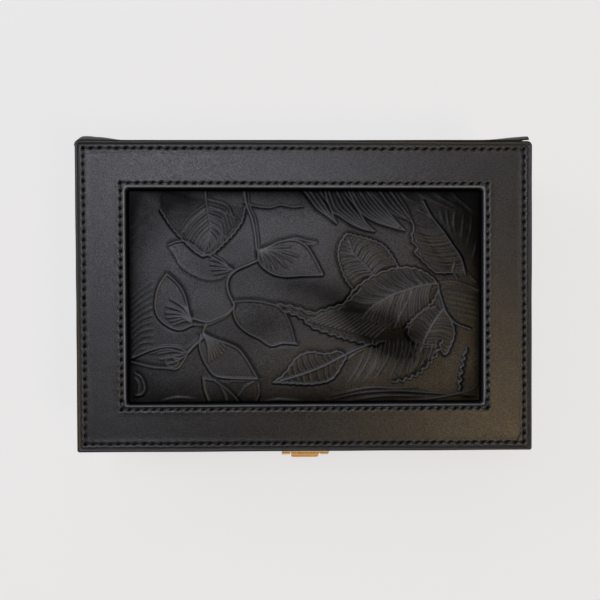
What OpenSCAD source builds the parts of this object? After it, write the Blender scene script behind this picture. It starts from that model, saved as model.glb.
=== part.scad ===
// Leatherette jewellery gift box.
// A board box wrapped in stitched leatherette, with a flat framed lid, a sunk embossed
// panel, a leatherette hinge strip along the back and a brass hasp on the front.
// Millimetres. +Z up, +Y towards the hinge, -Y towards the hasp.
// The origin is the centre of the underside.

/* [Box] */
// Outer width of box and lid
box_w = 200; // [170:1:240]
// Outer depth of box and lid
box_d = 136; // [120:1:170]
// Height of the base, up to the top of its rim
base_h = 50; // [44:1:70]
// Gap between the rim and the closed lid
lid_gap = 0.4; // [0.3:0.1:0.8]
// Thickness of the wall boards
wall_t = 4; // [3:0.5:6]
// Thickness of the outer leatherette
skin_t = 1; // [0.8:0.1:1.4]
// Radius of the upright outer corners
corner_r = 2; // [1.5:0.5:4]

/* [Lid] */
// Overall thickness of the lid
lid_h = 11.6; // [10.6:0.2:16]
// Width of the stitched border at the two sides, from the lid's edge to the window
border_w = 21.6; // [16:0.2:30]
// Width of the stitched border at the front and back
border_d = 20.6; // [16:0.2:30]
// Thickness of the board behind the sunk panel
lid_board_t = 2.4; // [2:0.2:4]
// Narrow strip of edge wrap that shows round the top cover
edge_show = 1.2; // [0.8:0.1:2]
// Distance from one stitch to the next
stitch_pitch = 3.6; // [3:0.1:5]
// Gap all round the sunk panel
panel_gap = 0.9; // [0.5:0.1:1.5]
// Height of the padded panel above its board
panel_h = 6.2; // [2.4:0.1:6.4]

/* [Mirror] */
// Mirror width
mirror_w = 146; // [100:1:160]
// Mirror depth
mirror_d = 86; // [60:1:100]

/* [Inside] */
// Number of ring rolls
roll_n = 6; // [4:1:7]
// Diameter of a ring roll
roll_dia = 13; // [10:0.5:13]
// Height of the foam bed under the rolls
bed_h = 17; // [10:1:20]
// Height of the dividers above the floor lining
divider_h = 35; // [25:1:38]
// Divider thickness
divider_t = 2.4; // [2:0.2:4]

/* [Hasp] */
// Overall width of the hasp
hasp_w = 21; // [18:0.5:26]
// Width of the flap
flap_w = 12.6; // [10:0.1:14]
// Radius of the hasp's hinge knuckles
knuckle_r = 1.3; // [1.2:0.1:1.5]
// Radius of the hasp's pin
pin_r = 0.6; // [0.5:0.05:0.7]
// How far the flap's finger lip stands out from the box
lip_out = 6.1; // [5:0.1:7.5]
// Thickness of the hasp's plate
plate_t = 0.5; // [0.4:0.1:0.8]

/* [Hidden] */
$fn = 48;

turn_t = 0.8;                          // leatherette turned over an edge
foot_t = 0.8;                          // sheet under the box
bottom_t = 2.5;                        // bottom board
lining_t = 1.5;                        // velvet on card
in_w = box_w - 2*(skin_t + wall_t);    // between the wall boards
in_d = box_d - 2*(skin_t + wall_t);
cav_w = in_w - 2*lining_t;             // between the linings
cav_d = in_d - 2*lining_t;
floor_z = foot_t + bottom_t + lining_t;
rim_z = base_h;

lid_z = base_h + lid_gap;              // underside of the lid
lid_top = lid_z + lid_h;
board_z = lid_z + 0.6;                 // underside of the lid's back board
recess_z = board_z + lid_board_t;      // floor of the window recess
cover_t = 1.1;                         // top cover
foam_t = 0.9;                          // foam under the top cover
cover_z = lid_top - cover_t;
rail_top = cover_z - foam_t;
win_w = box_w - 2*border_w;            // window opening
win_d = box_d - 2*border_d;
rail_in = border_w - 1;                // rails stop behind the recess lining
rail_in_d = border_d - 1;
pan_w = win_w - 2*panel_gap;
pan_d = win_d - 2*panel_gap;
pad_h = 3;                             // inner pad hangs this far into the base

strip_t = 1;                           // hinge strip
axis_y = box_d/2 + strip_t;            // lid axis: outer face of the strip
axis_z = base_h + lid_gap/2;

front_y = -box_d/2;
pin_y = front_y - 1.75;                // hasp axis
pin_z = lid_z + 2.2;
flap_in = front_y - 1.7;               // inner face of the flap
flap_t = 0.9;
stud_z = pin_z - 6.1;
lip_z = pin_z - 9;

// A block centred on X and Y, with upright round corners
module slab(w, d, z0, z1, r = 0) {
  translate([0, 0, z0])
    if (r <= 0) translate([-w/2, -d/2, 0]) cube([w, d, z1 - z0]);
    else {
      translate([-w/2 + r, -d/2, 0]) cube([w - 2*r, d, z1 - z0]);
      translate([-w/2, -d/2 + r, 0]) cube([w, d - 2*r, z1 - z0]);
      for (x = [-1, 1], y = [-1, 1])
        translate([x*(w/2 - r), y*(d/2 - r), 0]) cylinder(r = r, h = z1 - z0);
    }
}
// A frame: slab with a rectangular hole
module ring(w, d, iw, id, z0, z1, r = 0, ir = 0) {
  difference() {
    slab(w, d, z0, z1, r);
    slab(iw, id, z0 - 1, z1 + 1, ir);
  }
}
module along_x(r, x0, x1, y, z) {
  translate([x0, y, z]) rotate([0, 90, 0]) cylinder(r = r, h = x1 - x0);
}
module along_y(r, y0, y1, x, z) {
  translate([x, y0, z]) rotate([-90, 0, 0]) cylinder(r = r, h = y1 - y0);
}
// A box from its two corners
module block(a, b) { translate(a) cube(b - a); }

/* ---------- base ---------- */

module body_cover() color([0.035, 0.035, 0.038]) difference() {
  union() {
    ring(box_w, box_d, box_w - 2*skin_t, box_d - 2*skin_t, 0.2, rim_z, corner_r, 1);
    ring(box_w - 1, box_d - 1, in_w, in_d, rim_z - turn_t, rim_z, 1.5);
    ring(box_w - 1, box_d - 1, in_w - 10, in_d - 10, 0.2, foot_t, 1.5);
  }
  for (x = [-1, 1]) along_y(0.5, front_y - 1, front_y + 3, x*4.6, stud_z - 3.6);
}

module underside_sheet() color([0.05, 0.05, 0.055])
  slab(in_w - 10.6, in_d - 10.6, 0, foot_t, 3);

module bottom_board() color([0.5, 0.42, 0.32])
  slab(in_w - 0.2, in_d - 0.2, foot_t, foot_t + bottom_t);

module cross_wall(side) {
  w = box_w - 2*skin_t;
  y0 = box_d/2 - skin_t - wall_t;
  block([-w/2 + 0.3, side > 0 ? y0 : -y0 - wall_t + 0.02, foot_t],
        [w/2 - 0.3, side > 0 ? y0 + wall_t - 0.02 : -y0, rim_z - turn_t]);
}
module front_wall_board() color([0.5, 0.42, 0.32]) difference() {
  cross_wall(-1);
  for (x = [-1, 1]) along_y(0.5, front_y - 1, front_y + 4.2, x*4.6, stud_z - 3.6);
}
module back_wall_board() color([0.5, 0.42, 0.32]) cross_wall(1);

module side_wall(side) {
  x0 = box_w/2 - skin_t - wall_t;
  block([side > 0 ? x0 : -x0 - wall_t + 0.02, -in_d/2 + 0.02, foot_t],
        [side > 0 ? x0 + wall_t - 0.02 : -x0, in_d/2 - 0.02, rim_z - turn_t]);
}
module left_wall_board() color([0.5, 0.42, 0.32]) side_wall(-1);
module right_wall_board() color([0.5, 0.42, 0.32]) side_wall(1);

// Four velvet-covered cards, one on each wall
lining_top = rim_z - 1.2;
module wall_lining() color([0.16, 0.16, 0.17]) {
  for (s = [-1, 1]) {
    y = s*(in_d/2 - lining_t/2 - 0.02);
    translate([-in_w/2 + 0.05, y - lining_t/2, foot_t + bottom_t])
      cube([in_w - 0.1, lining_t, lining_top - foot_t - bottom_t]);
    x = s*(in_w/2 - lining_t/2 - 0.02);
    translate([x - lining_t/2, -cav_d/2 + 0.05, foot_t + bottom_t])
      cube([lining_t, cav_d - 0.1, lining_top - foot_t - bottom_t]);
  }
}
module floor_lining() color([0.16, 0.16, 0.17])
  slab(cav_w - 0.2, cav_d - 0.2, foot_t + bottom_t, floor_z);

// Ring section on the left, compartments on the right
ring_w = roll_n*(roll_dia + 0.33) + 0.3;
ring_x0 = -cav_w/2 + 0.1;
ring_x1 = ring_x0 + ring_w;
module ring_bed() color([0.16, 0.16, 0.17])
  block([ring_x0, -cav_d/2 + 0.1, floor_z], [ring_x1, cav_d/2 - 0.1, floor_z + bed_h]);

module ring_rolls() color([0.18, 0.18, 0.19])
  for (i = [0:roll_n - 1])
    along_y(roll_dia/2, -cav_d/2 + 0.8, cav_d/2 - 0.8,
      ring_x0 + 0.3 + roll_dia/2 + i*(roll_dia + 0.33), floor_z + bed_h + roll_dia/2 + 0.02);

div_x0 = ring_x1 + 0.1;
div_x1 = div_x0 + divider_t;
module main_divider() color([0.16, 0.16, 0.17])
  block([div_x0, -cav_d/2 + 0.1, floor_z], [div_x1, cav_d/2 - 0.6, floor_z + divider_h]);
module long_divider() color([0.16, 0.16, 0.17])
  block([div_x1 + 0.05, -divider_t/2, floor_z], [cav_w/2 - 0.1, divider_t/2, floor_z + divider_h]);
split_x = (div_x1 + cav_w/2)/2;
module short_divider() color([0.16, 0.16, 0.17])
  block([split_x - divider_t/2, -cav_d/2 + 0.1, floor_z],
        [split_x + divider_t/2, -divider_t/2 - 0.05, floor_z + divider_h]);

// Lower half of the outer hinge strip, glued to the back wall
module hinge_strip_lower() color([0.035, 0.035, 0.038])
  block([-box_w/2 + 2.8, box_d/2 + 0.02, rim_z - 22], [box_w/2 - 3.2, axis_y, rim_z]);

// Fabric that joins the lid's inner pad to the back wall inside the box, folded when shut
module inner_hinge_strip() color([0.12, 0.12, 0.13])
  block([-cav_w/2 + 6, cav_d/2 - 0.45, rim_z - 14], [cav_w/2 - 6, cav_d/2 - 0.03, lining_top]);

// Brass catch under the flap: plate, stud and two nails
module catch_plate() color([0.78, 0.56, 0.24]) difference() {
  union() {
    block([-7, front_y - 0.8, stud_z - 5.6], [7, front_y, stud_z + 2.4]);
    along_y(1.25, front_y - 2.9, front_y - 0.4, 0, stud_z);
  }
  for (x = [-1, 1]) along_y(0.65, front_y - 2, front_y + 1, x*4.6, stud_z - 3.6);
}
module catch_nails() color([0.8, 0.6, 0.28])
  for (x = [-1, 1]) translate([x*4.6, 0, stud_z - 3.6]) {
    along_y(0.6, front_y - 1, front_y + 4, 0, 0);
    along_y(1.05, front_y - 1.25, front_y - 0.81, 0, 0);
  }

/* ---------- lid ---------- */

// Leatherette round the lid's edge, turned under at the bottom
module lid_edge_wrap() color([0.035, 0.035, 0.038]) difference() {
  union() {
    ring(box_w, box_d, box_w - 2*skin_t, box_d - 2*skin_t, lid_z, lid_top - 0.5, corner_r, 1);
    ring(box_w - 1, box_d - 1, in_w - 1.5, in_d - 1.5, lid_z, board_z, 1.5);
  }
  for (x = [-1, 1]) along_y(0.5, front_y - 1, front_y + 3, x*6.2, pin_z + 4.6);
}
module lid_back_board() color([0.5, 0.42, 0.32])
  slab(box_w - 2*skin_t - 0.1, box_d - 2*skin_t - 0.1, board_z, recess_z);

module rail_cross(side) {
  w = box_w - 2*skin_t - 0.1;
  a = box_d/2 - rail_in_d;
  b = box_d/2 - skin_t - 0.05;
  block([-w/2, side > 0 ? a : -b, recess_z], [w/2, side > 0 ? b : -a, rail_top]);
}
module frame_rail_front() color([0.5, 0.42, 0.32]) difference() {
  rail_cross(-1);
  for (x = [-1, 1]) along_y(0.5, front_y - 1, front_y + 5.2, x*6.2, pin_z + 4.6);
}
module frame_rail_back() color([0.5, 0.42, 0.32]) rail_cross(1);
module rail_side(side) {
  a = box_w/2 - rail_in;
  b = box_w/2 - skin_t - 0.05;
  d = box_d/2 - rail_in_d - 0.02;
  block([side > 0 ? a : -b, -d, recess_z], [side > 0 ? b : -a, d, rail_top]);
}
module frame_rail_left() color([0.5, 0.42, 0.32]) rail_side(-1);
module frame_rail_right() color([0.5, 0.42, 0.32]) rail_side(1);

// Thin foam that pads the stitched border
module border_foam() color([0.3, 0.3, 0.3])
  ring(box_w - 2*edge_show - 1, box_d - 2*edge_show - 1,
       box_w - 2*rail_in, box_d - 2*rail_in_d, rail_top, cover_z);

// Stitched top cover
module lid_top_cover() color([0.04, 0.04, 0.043])
  ring(box_w - 2*edge_show, box_d - 2*edge_show, win_w, win_d,
       cover_z, lid_top, 1.6, 2);

// One rectangle of thread stitches lying on the top cover
stitch_r = 0.3;
module stitch_row(w, d) {
  nx = floor(w/stitch_pitch);
  ny = floor(d/stitch_pitch);
  for (s = [-1, 1]) {
    for (i = [0:nx - 1]) {
      x = -w/2 + (i + 0.5)*w/nx;
      along_x(stitch_r, x - stitch_pitch*0.36, x + stitch_pitch*0.36, s*d/2, lid_top + stitch_r);
    }
    for (i = [0:ny - 1]) {
      y = -d/2 + (i + 0.5)*d/ny;
      along_y(stitch_r, y - stitch_pitch*0.36, y + stitch_pitch*0.36, s*w/2, lid_top + stitch_r);
    }
  }
}
module outer_stitching() color([0.02, 0.02, 0.022])
  stitch_row(box_w - 6.6, box_d - 6.4, $fn = 10);
module inner_stitching() color([0.02, 0.02, 0.022])
  stitch_row(win_w + 5.4, win_d + 5.1, $fn = 10);

// Leatherette strips that line the sides of the window recess
module recess_lining() color([0.03, 0.03, 0.032])
  ring(box_w - 2*rail_in - 0.04, box_d - 2*rail_in_d - 0.04, win_w, win_d,
       recess_z, cover_z, 0, 2);

// Padded panel, sunk in the recess
module panel_board() color([0.5, 0.42, 0.32])
  slab(pan_w - 2.4, pan_d - 2.4, recess_z, recess_z + 1.2, 1.2);
module panel_foam() color([0.3, 0.3, 0.3])
  slab(pan_w - 4, pan_d - 4, recess_z + 1.2, recess_z + panel_h - 1, 1.2);
// Embossed leatherette over the foam: a shallow tray turned over the panel's edge
module embossed_panel() color([0.045, 0.045, 0.048]) difference() {
  hull() {
    slab(pan_w, pan_d, recess_z, recess_z + 1.2, 1.4);
    slab(pan_w - 5, pan_d - 5, recess_z + panel_h - 0.5, recess_z + panel_h, 1.4);
  }
  slab(pan_w - 2.2, pan_d - 2.2, recess_z - 1, recess_z + 1.25, 1.3);
  slab(pan_w - 3.8, pan_d - 3.8, recess_z + 1.2, recess_z + panel_h - 0.95, 1.3);
}

// Velvet pad under the lid that holds the mirror and drops inside the rim
module lid_inner_pad() color([0.16, 0.16, 0.17]) difference() {
  slab(cav_w - 1.4, cav_d - 1.4, lid_z - pad_h, board_z, 3);
  slab(mirror_w, mirror_d, lid_z - pad_h - 1, lid_z - pad_h + 2);
}
module mirror() color([0.75, 0.78, 0.8])
  slab(mirror_w - 0.4, mirror_d - 0.4, lid_z - pad_h + 0.2, lid_z - pad_h + 2);

// Upper half of the hinge strip. Its two ends stand away from the lid.
function ease(t) = t <= 0 ? 0 : t >= 1 ? 1 : t*t*(3 - 2*t);
// One end: it leaves the lid over a length "rise", then runs straight to x_end
module flared_end(side, x_end, rise, run, out) {
  n = 10;
  x = [for (i = [0:n]) x_end - run - rise + rise*i/n];
  y = [for (i = [0:n]) out*ease(i/n)];
  translate([0, 0, lid_z + 2.2]) linear_extrude(lid_h - 3) scale([side, 1])
    polygon(concat(
      [for (i = [0:n]) [x[i], axis_y + y[i]]], [[x_end, axis_y + out]],
      [[x_end, axis_y + out - strip_t]], [for (i = [n:-1:0]) [x[i], axis_y - strip_t + 0.02 + y[i]]]));
}
strip_l = box_w/2 - 0.8;               // left end
strip_r = box_w/2 - 2.6;               // right end
module hinge_strip_upper() color([0.035, 0.035, 0.038]) {
  block([-strip_l + 2, box_d/2 + 0.02, lid_z], [strip_r - 0.6, axis_y, lid_z + 2.2]);
  block([-strip_l + 23.9, box_d/2 + 0.02, lid_z], [strip_r - 33.9, axis_y, lid_top - 0.8]);
  flared_end(-1, strip_l, 15, 9, 2.3);
  flared_end(1, strip_r, 26, 8, 2.1);
}

/* ---------- hasp ---------- */

half = hasp_w/2;
flap_half = flap_w/2;
module hasp_plate() color([0.78, 0.56, 0.24]) difference() {
  union() {
    block([-half, front_y - plate_t, pin_z + 1.25], [half, front_y, lid_top - 1.9]);
    for (s = [-1, 1]) {
      x0 = s > 0 ? flap_half + 0.5 : -half;
      x1 = s > 0 ? half : -flap_half - 0.5;
      along_x(knuckle_r, x0, x1, pin_y, pin_z);
      block([x0, pin_y, pin_z], [x1, front_y - 0.05, pin_z + knuckle_r]);
    }
  }
  along_x(pin_r + 0.02, -half - 1, half + 1, pin_y, pin_z);
  for (x = [-1, 1]) along_y(0.65, front_y - 2, front_y + 1, x*6.2, pin_z + 4.6);
}
module hasp_pin() color([0.8, 0.6, 0.28])
  along_x(pin_r, -half + 0.1, half - 0.1, pin_y, pin_z);
module hasp_nails() color([0.8, 0.6, 0.28])
  for (x = [-1, 1]) translate([x*6.2, 0, pin_z + 4.6]) {
    along_y(0.6, front_y - plate_t - 0.2, front_y + 5, 0, 0);
    along_y(1.05, front_y - plate_t - 0.45, front_y - plate_t - 0.01, 0, 0);
  }
// Flap: knuckle, flat leaf with a hole for the stud, and a lip for the finger
module hasp_flap() color([0.8, 0.54, 0.22]) difference() {
  union() {
    along_x(knuckle_r, -flap_half, flap_half, pin_y, pin_z);
    block([-flap_half, flap_in - flap_t, lip_z + 1.2], [flap_half, flap_in, pin_z]);
    // quarter-round bend and lip
    difference() {
      along_x(2.1, -flap_half, flap_half, flap_in - 2.1, lip_z + 1.2);
      along_x(1.2, -flap_half - 1, flap_half + 1, flap_in - 2.1, lip_z + 1.2);
      block([-flap_half - 1, flap_in - 5, lip_z + 1.2], [flap_half + 1, flap_in + 1, lip_z + 5]);
      block([-flap_half - 1, flap_in - 5, lip_z - 3], [flap_half + 1, flap_in - 2.1, lip_z + 5]);
    }
    block([-flap_half, front_y - lip_out + 0.9, lip_z - 0.9], [flap_half, flap_in - 2.1, lip_z]);
    block([-flap_half + 0.9, front_y - lip_out, lip_z - 0.9], [flap_half - 0.9, front_y - lip_out + 0.9, lip_z]);
    for (x = [-1, 1]) translate([x*(flap_half - 0.9), front_y - lip_out + 0.9, lip_z - 0.9])
      cylinder(r = 0.9, h = 0.9);
  }
  along_x(pin_r + 0.06, -flap_half - 1, flap_half + 1, pin_y, pin_z);
  along_y(1.75, flap_in - 3, flap_in + 1, 0, stud_z);
}

body_cover();
underside_sheet();
bottom_board();
front_wall_board();
back_wall_board();
left_wall_board();
right_wall_board();
wall_lining();
floor_lining();
ring_bed();
ring_rolls();
main_divider();
long_divider();
short_divider();
hinge_strip_lower();
inner_hinge_strip();
catch_plate();
catch_nails();
lid_edge_wrap();
lid_back_board();
frame_rail_front();
frame_rail_back();
frame_rail_left();
frame_rail_right();
border_foam();
lid_top_cover();
outer_stitching();
inner_stitching();
recess_lining();
panel_board();
panel_foam();
embossed_panel();
lid_inner_pad();
mirror();
hinge_strip_upper();
hasp_plate();
hasp_pin();
hasp_nails();
hasp_flap();
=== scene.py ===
import math
import bpy
import numpy as np
from mathutils import Matrix, Vector


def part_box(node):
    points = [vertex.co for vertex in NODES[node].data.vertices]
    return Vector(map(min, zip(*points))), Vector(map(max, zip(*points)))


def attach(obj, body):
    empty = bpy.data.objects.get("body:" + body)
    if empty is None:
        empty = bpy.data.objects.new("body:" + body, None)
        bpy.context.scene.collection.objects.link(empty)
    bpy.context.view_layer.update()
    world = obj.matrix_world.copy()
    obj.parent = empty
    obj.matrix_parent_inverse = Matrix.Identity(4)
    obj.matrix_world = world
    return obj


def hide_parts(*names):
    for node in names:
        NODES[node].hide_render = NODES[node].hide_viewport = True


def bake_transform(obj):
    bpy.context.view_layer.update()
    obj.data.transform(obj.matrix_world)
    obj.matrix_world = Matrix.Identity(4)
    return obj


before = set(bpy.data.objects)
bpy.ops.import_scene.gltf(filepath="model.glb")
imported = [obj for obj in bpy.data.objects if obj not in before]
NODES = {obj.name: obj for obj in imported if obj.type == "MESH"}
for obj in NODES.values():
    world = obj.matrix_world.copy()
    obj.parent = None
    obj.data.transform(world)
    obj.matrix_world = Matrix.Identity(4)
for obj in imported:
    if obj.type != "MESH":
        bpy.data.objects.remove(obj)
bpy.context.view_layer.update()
rng = np.random.default_rng(7)
MM = 0.001

# ------------------------------------------------------------------ sizes, mm
BW, BD = 200.0, 136.0
BASE_H, LID_Z, LID_TOP = 50.0, 50.4, 62.0
SHOW = 1.2
WIN_W, WIN_D = 156.8, 94.8
RECESS_Z = 53.4
PAN_W, PAN_D = 155.4, 93.5


# ------------------------------------------------------------------ helpers
def make(name, verts, faces, mat, smooth=True, body=None, mats=None, mat_index=None):
    """A mesh object from points in mm and faces as lists or an (n, 4) array."""
    me = bpy.data.meshes.new(name)
    v = np.asarray(verts, float) * MM
    if isinstance(faces, np.ndarray):
        n, k = faces.shape
        me.vertices.add(len(v))
        me.vertices.foreach_set("co", v.astype(np.float32).ravel())
        me.loops.add(n * k)
        me.loops.foreach_set("vertex_index", faces.astype(np.int32).ravel())
        me.polygons.add(n)
        me.polygons.foreach_set("loop_start", np.arange(0, n * k, k, dtype=np.int32))
        me.update(calc_edges=True)
        me.validate()
    else:
        me.from_pydata([tuple(p) for p in v], [], [tuple(f) for f in faces])
        me.update()
    ob = bpy.data.objects.new(name, me)
    bpy.context.scene.collection.objects.link(ob)
    for m in (mats or [mat]):
        me.materials.append(m)
    if mat_index is not None:
        me.polygons.foreach_set("material_index", np.asarray(mat_index, np.int32))
    if smooth:
        me.polygons.foreach_set("use_smooth", np.ones(len(me.polygons), bool))
    if body:
        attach(ob, body)
    return ob


def quads(rows, cols, close_cols=True, close_rows=False):
    """Faces of a grid with rows x cols points."""
    r = np.arange(rows if close_rows else rows - 1)
    c = np.arange(cols if close_cols else cols - 1)
    R, C = np.meshgrid(r, c, indexing="ij")
    R2, C2 = (R + 1) % rows, (C + 1) % cols
    return np.stack([R * cols + C, R * cols + C2, R2 * cols + C2, R2 * cols + C], -1).reshape(-1, 4)


def rr_loop(hx, hy, r, nx, ny, nc=8):
    """Points round a rounded rectangle, counter-clockwise from the middle of the front-left corner."""
    r = [r] * 4 if np.isscalar(r) else r
    fr, br, bl, fl = [max(min(q, hx - 0.01, hy - 0.01), 0.001) for q in r]
    r = (fr, br, bl, fl)
    out = []
    cs = [(hx - fr, -hy + fr, -90), (hx - br, hy - br, 0), (-hx + bl, hy - bl, 90), (-hx + fl, -hy + fl, 180)]
    starts = [(-hx + fl, -hy), (hx, -hy + fr), (hx - br, hy), (-hx, hy - bl)]
    ends = [(hx - fr, -hy), (hx, hy - br), (-hx + bl, hy), (-hx, -hy + fl)]
    for k in range(4):
        n = nx if k % 2 == 0 else ny
        a, b = np.array(starts[k]), np.array(ends[k])
        t = np.linspace(0, 1, n, endpoint=False)[:, None]
        out.append(a + (b - a) * t)
        ang = np.radians(cs[k][2] + np.linspace(0, 90, nc, endpoint=False))
        out.append(np.stack([cs[k][0] + r[k] * np.cos(ang), cs[k][1] + r[k] * np.sin(ang)], -1))
    return np.concatenate(out)


def sweep(name, hx, hy, r, profile, nx, ny, nc, mat, body, wobble=0.0, closed=False):
    """A profile of (inset, z) carried round a rounded rectangle."""
    rows = []
    for inset, z in profile:
        p = rr_loop(hx - inset, hy - inset, [max(q - inset, 0.3) for q in ([r] * 4 if np.isscalar(r) else r)], nx, ny, nc)
        rows.append(np.column_stack([p, np.full(len(p), z)]))
    cols = len(rows[0])
    v = np.concatenate(rows)
    if wobble:
        ph = rng.uniform(0, 6.28, 6)
        a = np.arctan2(v[:, 1] * hx / hy, v[:, 0])
        w = sum(np.sin((k * 3 + 5) * a + ph[k] + v[:, 2] * 0.05 * (k + 1)) for k in range(6)) / 6
        n = v[:, :2] / np.maximum(np.abs(v[:, :2] / [hx, hy]).max(1, keepdims=True), 1e-6) / [hx, hy]
        v[:, :2] += n * (w * wobble)[:, None]
    if body == "lid":
        v = warp(v)
    return make(name, v, quads(len(profile), cols, True, closed), mat, body=body)


def noise2(x, y, scale, seed, octaves=3):
    """Smooth value noise, about -1 to 1."""
    g = np.random.default_rng(seed)
    out, amp, tot = 0, 1.0, 0.0
    for o in range(octaves):
        tab = g.uniform(-1, 1, (64, 64))
        u, v = x / scale * 2 ** o + 31.7, y / scale * 2 ** o + 17.3
        i, j = np.floor(u).astype(int), np.floor(v).astype(int)
        fu, fv = u - i, v - j
        fu, fv = fu * fu * (3 - 2 * fu), fv * fv * (3 - 2 * fv)
        a = tab[i % 64, j % 64] * (1 - fu) + tab[(i + 1) % 64, j % 64] * fu
        b = tab[i % 64, (j + 1) % 64] * (1 - fu) + tab[(i + 1) % 64, (j + 1) % 64] * fu
        out = out + amp * (a * (1 - fv) + b * fv)
        tot += amp
        amp *= 0.5
    return out / tot


# ------------------------------------------------------------------ materials
def new_mat(name):
    m = bpy.data.materials.new(name)
    m.use_nodes = True
    nt = m.node_tree
    for n in list(nt.nodes):
        if n.type not in ("BSDF_PRINCIPLED", "OUTPUT_MATERIAL"):
            nt.nodes.remove(n)
    return m, nt, nt.nodes["Principled BSDF"]


def coords(nt, scale=1.0):
    tc = nt.nodes.new("ShaderNodeTexCoord")
    return tc.outputs["Object"]


def tex_noise(nt, co, scale, detail=3, rough=0.5):
    n = nt.nodes.new("ShaderNodeTexNoise")
    n.inputs["Scale"].default_value = scale
    n.inputs["Detail"].default_value = detail
    n.inputs["Roughness"].default_value = rough
    nt.links.new(co, n.inputs["Vector"])
    return n.outputs["Fac"]


def tex_voronoi(nt, co, scale, feature="DISTANCE_TO_EDGE"):
    n = nt.nodes.new("ShaderNodeTexVoronoi")
    n.feature = feature
    n.inputs["Scale"].default_value = scale
    nt.links.new(co, n.inputs["Vector"])
    return n.outputs["Distance"]


def ramp(nt, fac, stops):
    r = nt.nodes.new("ShaderNodeValToRGB")
    els = r.color_ramp.elements
    while len(els) < len(stops):
        els.new(0.5)
    for e, (p, c) in zip(els, stops):
        e.position = p
        e.color = (*c, 1) if len(c) == 3 else c
    nt.links.new(fac, r.inputs["Fac"])
    return r.outputs["Color"]


def maprange(nt, v, a, b, c, d):
    m = nt.nodes.new("ShaderNodeMapRange")
    m.inputs["From Min"].default_value = a
    m.inputs["From Max"].default_value = b
    m.inputs["To Min"].default_value = c
    m.inputs["To Max"].default_value = d
    nt.links.new(v, m.inputs["Value"])
    return m.outputs["Result"]


def mathn(nt, op, a, b):
    m = nt.nodes.new("ShaderNodeMath")
    m.operation = op
    for i, x in enumerate((a, b)):
        if isinstance(x, (int, float)):
            m.inputs[i].default_value = x
        else:
            nt.links.new(x, m.inputs[i])
    return m.outputs[0]


def bump(nt, height, strength, dist, normal=None):
    b = nt.nodes.new("ShaderNodeBump")
    b.inputs["Strength"].default_value = strength
    b.inputs["Distance"].default_value = dist
    nt.links.new(height, b.inputs["Height"])
    if normal is not None:
        nt.links.new(normal, b.inputs["Normal"])
    return b.outputs["Normal"]


def leather(name, dark, light, rough=(0.38, 0.55), grain=1500, grain_d=0.00006, spec=0.5, pebble=0.55, cover_painted_shade=False, mid_s=0.6):
    m, nt, bs = new_mat(name)
    co = coords(nt)
    cloud = tex_noise(nt, co, 38, 4, 0.6)
    col = ramp(nt, cloud, [(0.3, dark), (0.75, light)])
    if cover_painted_shade:
        # painted shade: this attribute turns the colour near black and cuts the gloss in the needle holes, along the
        # stitch grooves, and towards the front edge and the two ends of the lid
        at = nt.nodes.new("ShaderNodeAttribute")
        at.attribute_name = "cover_painted_shade"
        mix = nt.nodes.new("ShaderNodeMix")
        mix.data_type = "RGBA"
        nt.links.new(at.outputs["Fac"], mix.inputs["Factor"])
        nt.links.new(col, mix.inputs["A"])
        mix.inputs["B"].default_value = (0.0006, 0.0006, 0.0006, 1)
        col = mix.outputs["Result"]
        fleck = maprange(nt, tex_noise(nt, co, 1900, 3, 0.7), 0.36, 0.64, 0.62, 1.38)
        nt.links.new(mathn(nt, "MULTIPLY", fleck, maprange(nt, at.outputs["Fac"], 0.0, 1.0, spec, 0.02)), bs.inputs["Specular IOR Level"])
        # painted highlight: a pale bluish line mixed into the colour along the rounded bead at the window's edge
        bead_hl = nt.nodes.new("ShaderNodeAttribute")
        bead_hl.attribute_name = "bead_painted_highlight"
        mix = nt.nodes.new("ShaderNodeMix")
        mix.data_type = "RGBA"
        nt.links.new(bead_hl.outputs["Fac"], mix.inputs["Factor"])
        nt.links.new(col, mix.inputs["A"])
        mix.inputs["B"].default_value = (0.36, 0.39, 0.44, 1)
        col = mix.outputs["Result"]
    nt.links.new(col, bs.inputs["Base Color"])
    fine = tex_noise(nt, co, grain * 0.6, 2, 0.6)
    r = mathn(nt, "ADD", maprange(nt, cloud, 0.3, 0.7, rough[0], rough[1]), maprange(nt, fine, 0.3, 0.7, -0.04, 0.05))
    nt.links.new(r, bs.inputs["Roughness"])
    if not cover_painted_shade:
        bs.inputs["Specular IOR Level"].default_value = spec
    cell = maprange(nt, tex_voronoi(nt, co, grain), 0.0, 0.25, 0.0, 1.0)
    h = mathn(nt, "ADD", mathn(nt, "MULTIPLY", cell, pebble), mathn(nt, "MULTIPLY", fine, 1 - pebble))
    wave = tex_noise(nt, co, 190, 3, 0.55)
    mid = tex_noise(nt, co, 2300, 3, 0.65)
    n0 = bump(nt, wave, 0.35, 0.00008)
    n1 = bump(nt, mid, mid_s, 0.00007, n0)
    nt.links.new(bump(nt, h, 0.55, grain_d, n1), bs.inputs["Normal"])
    return m


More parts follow.
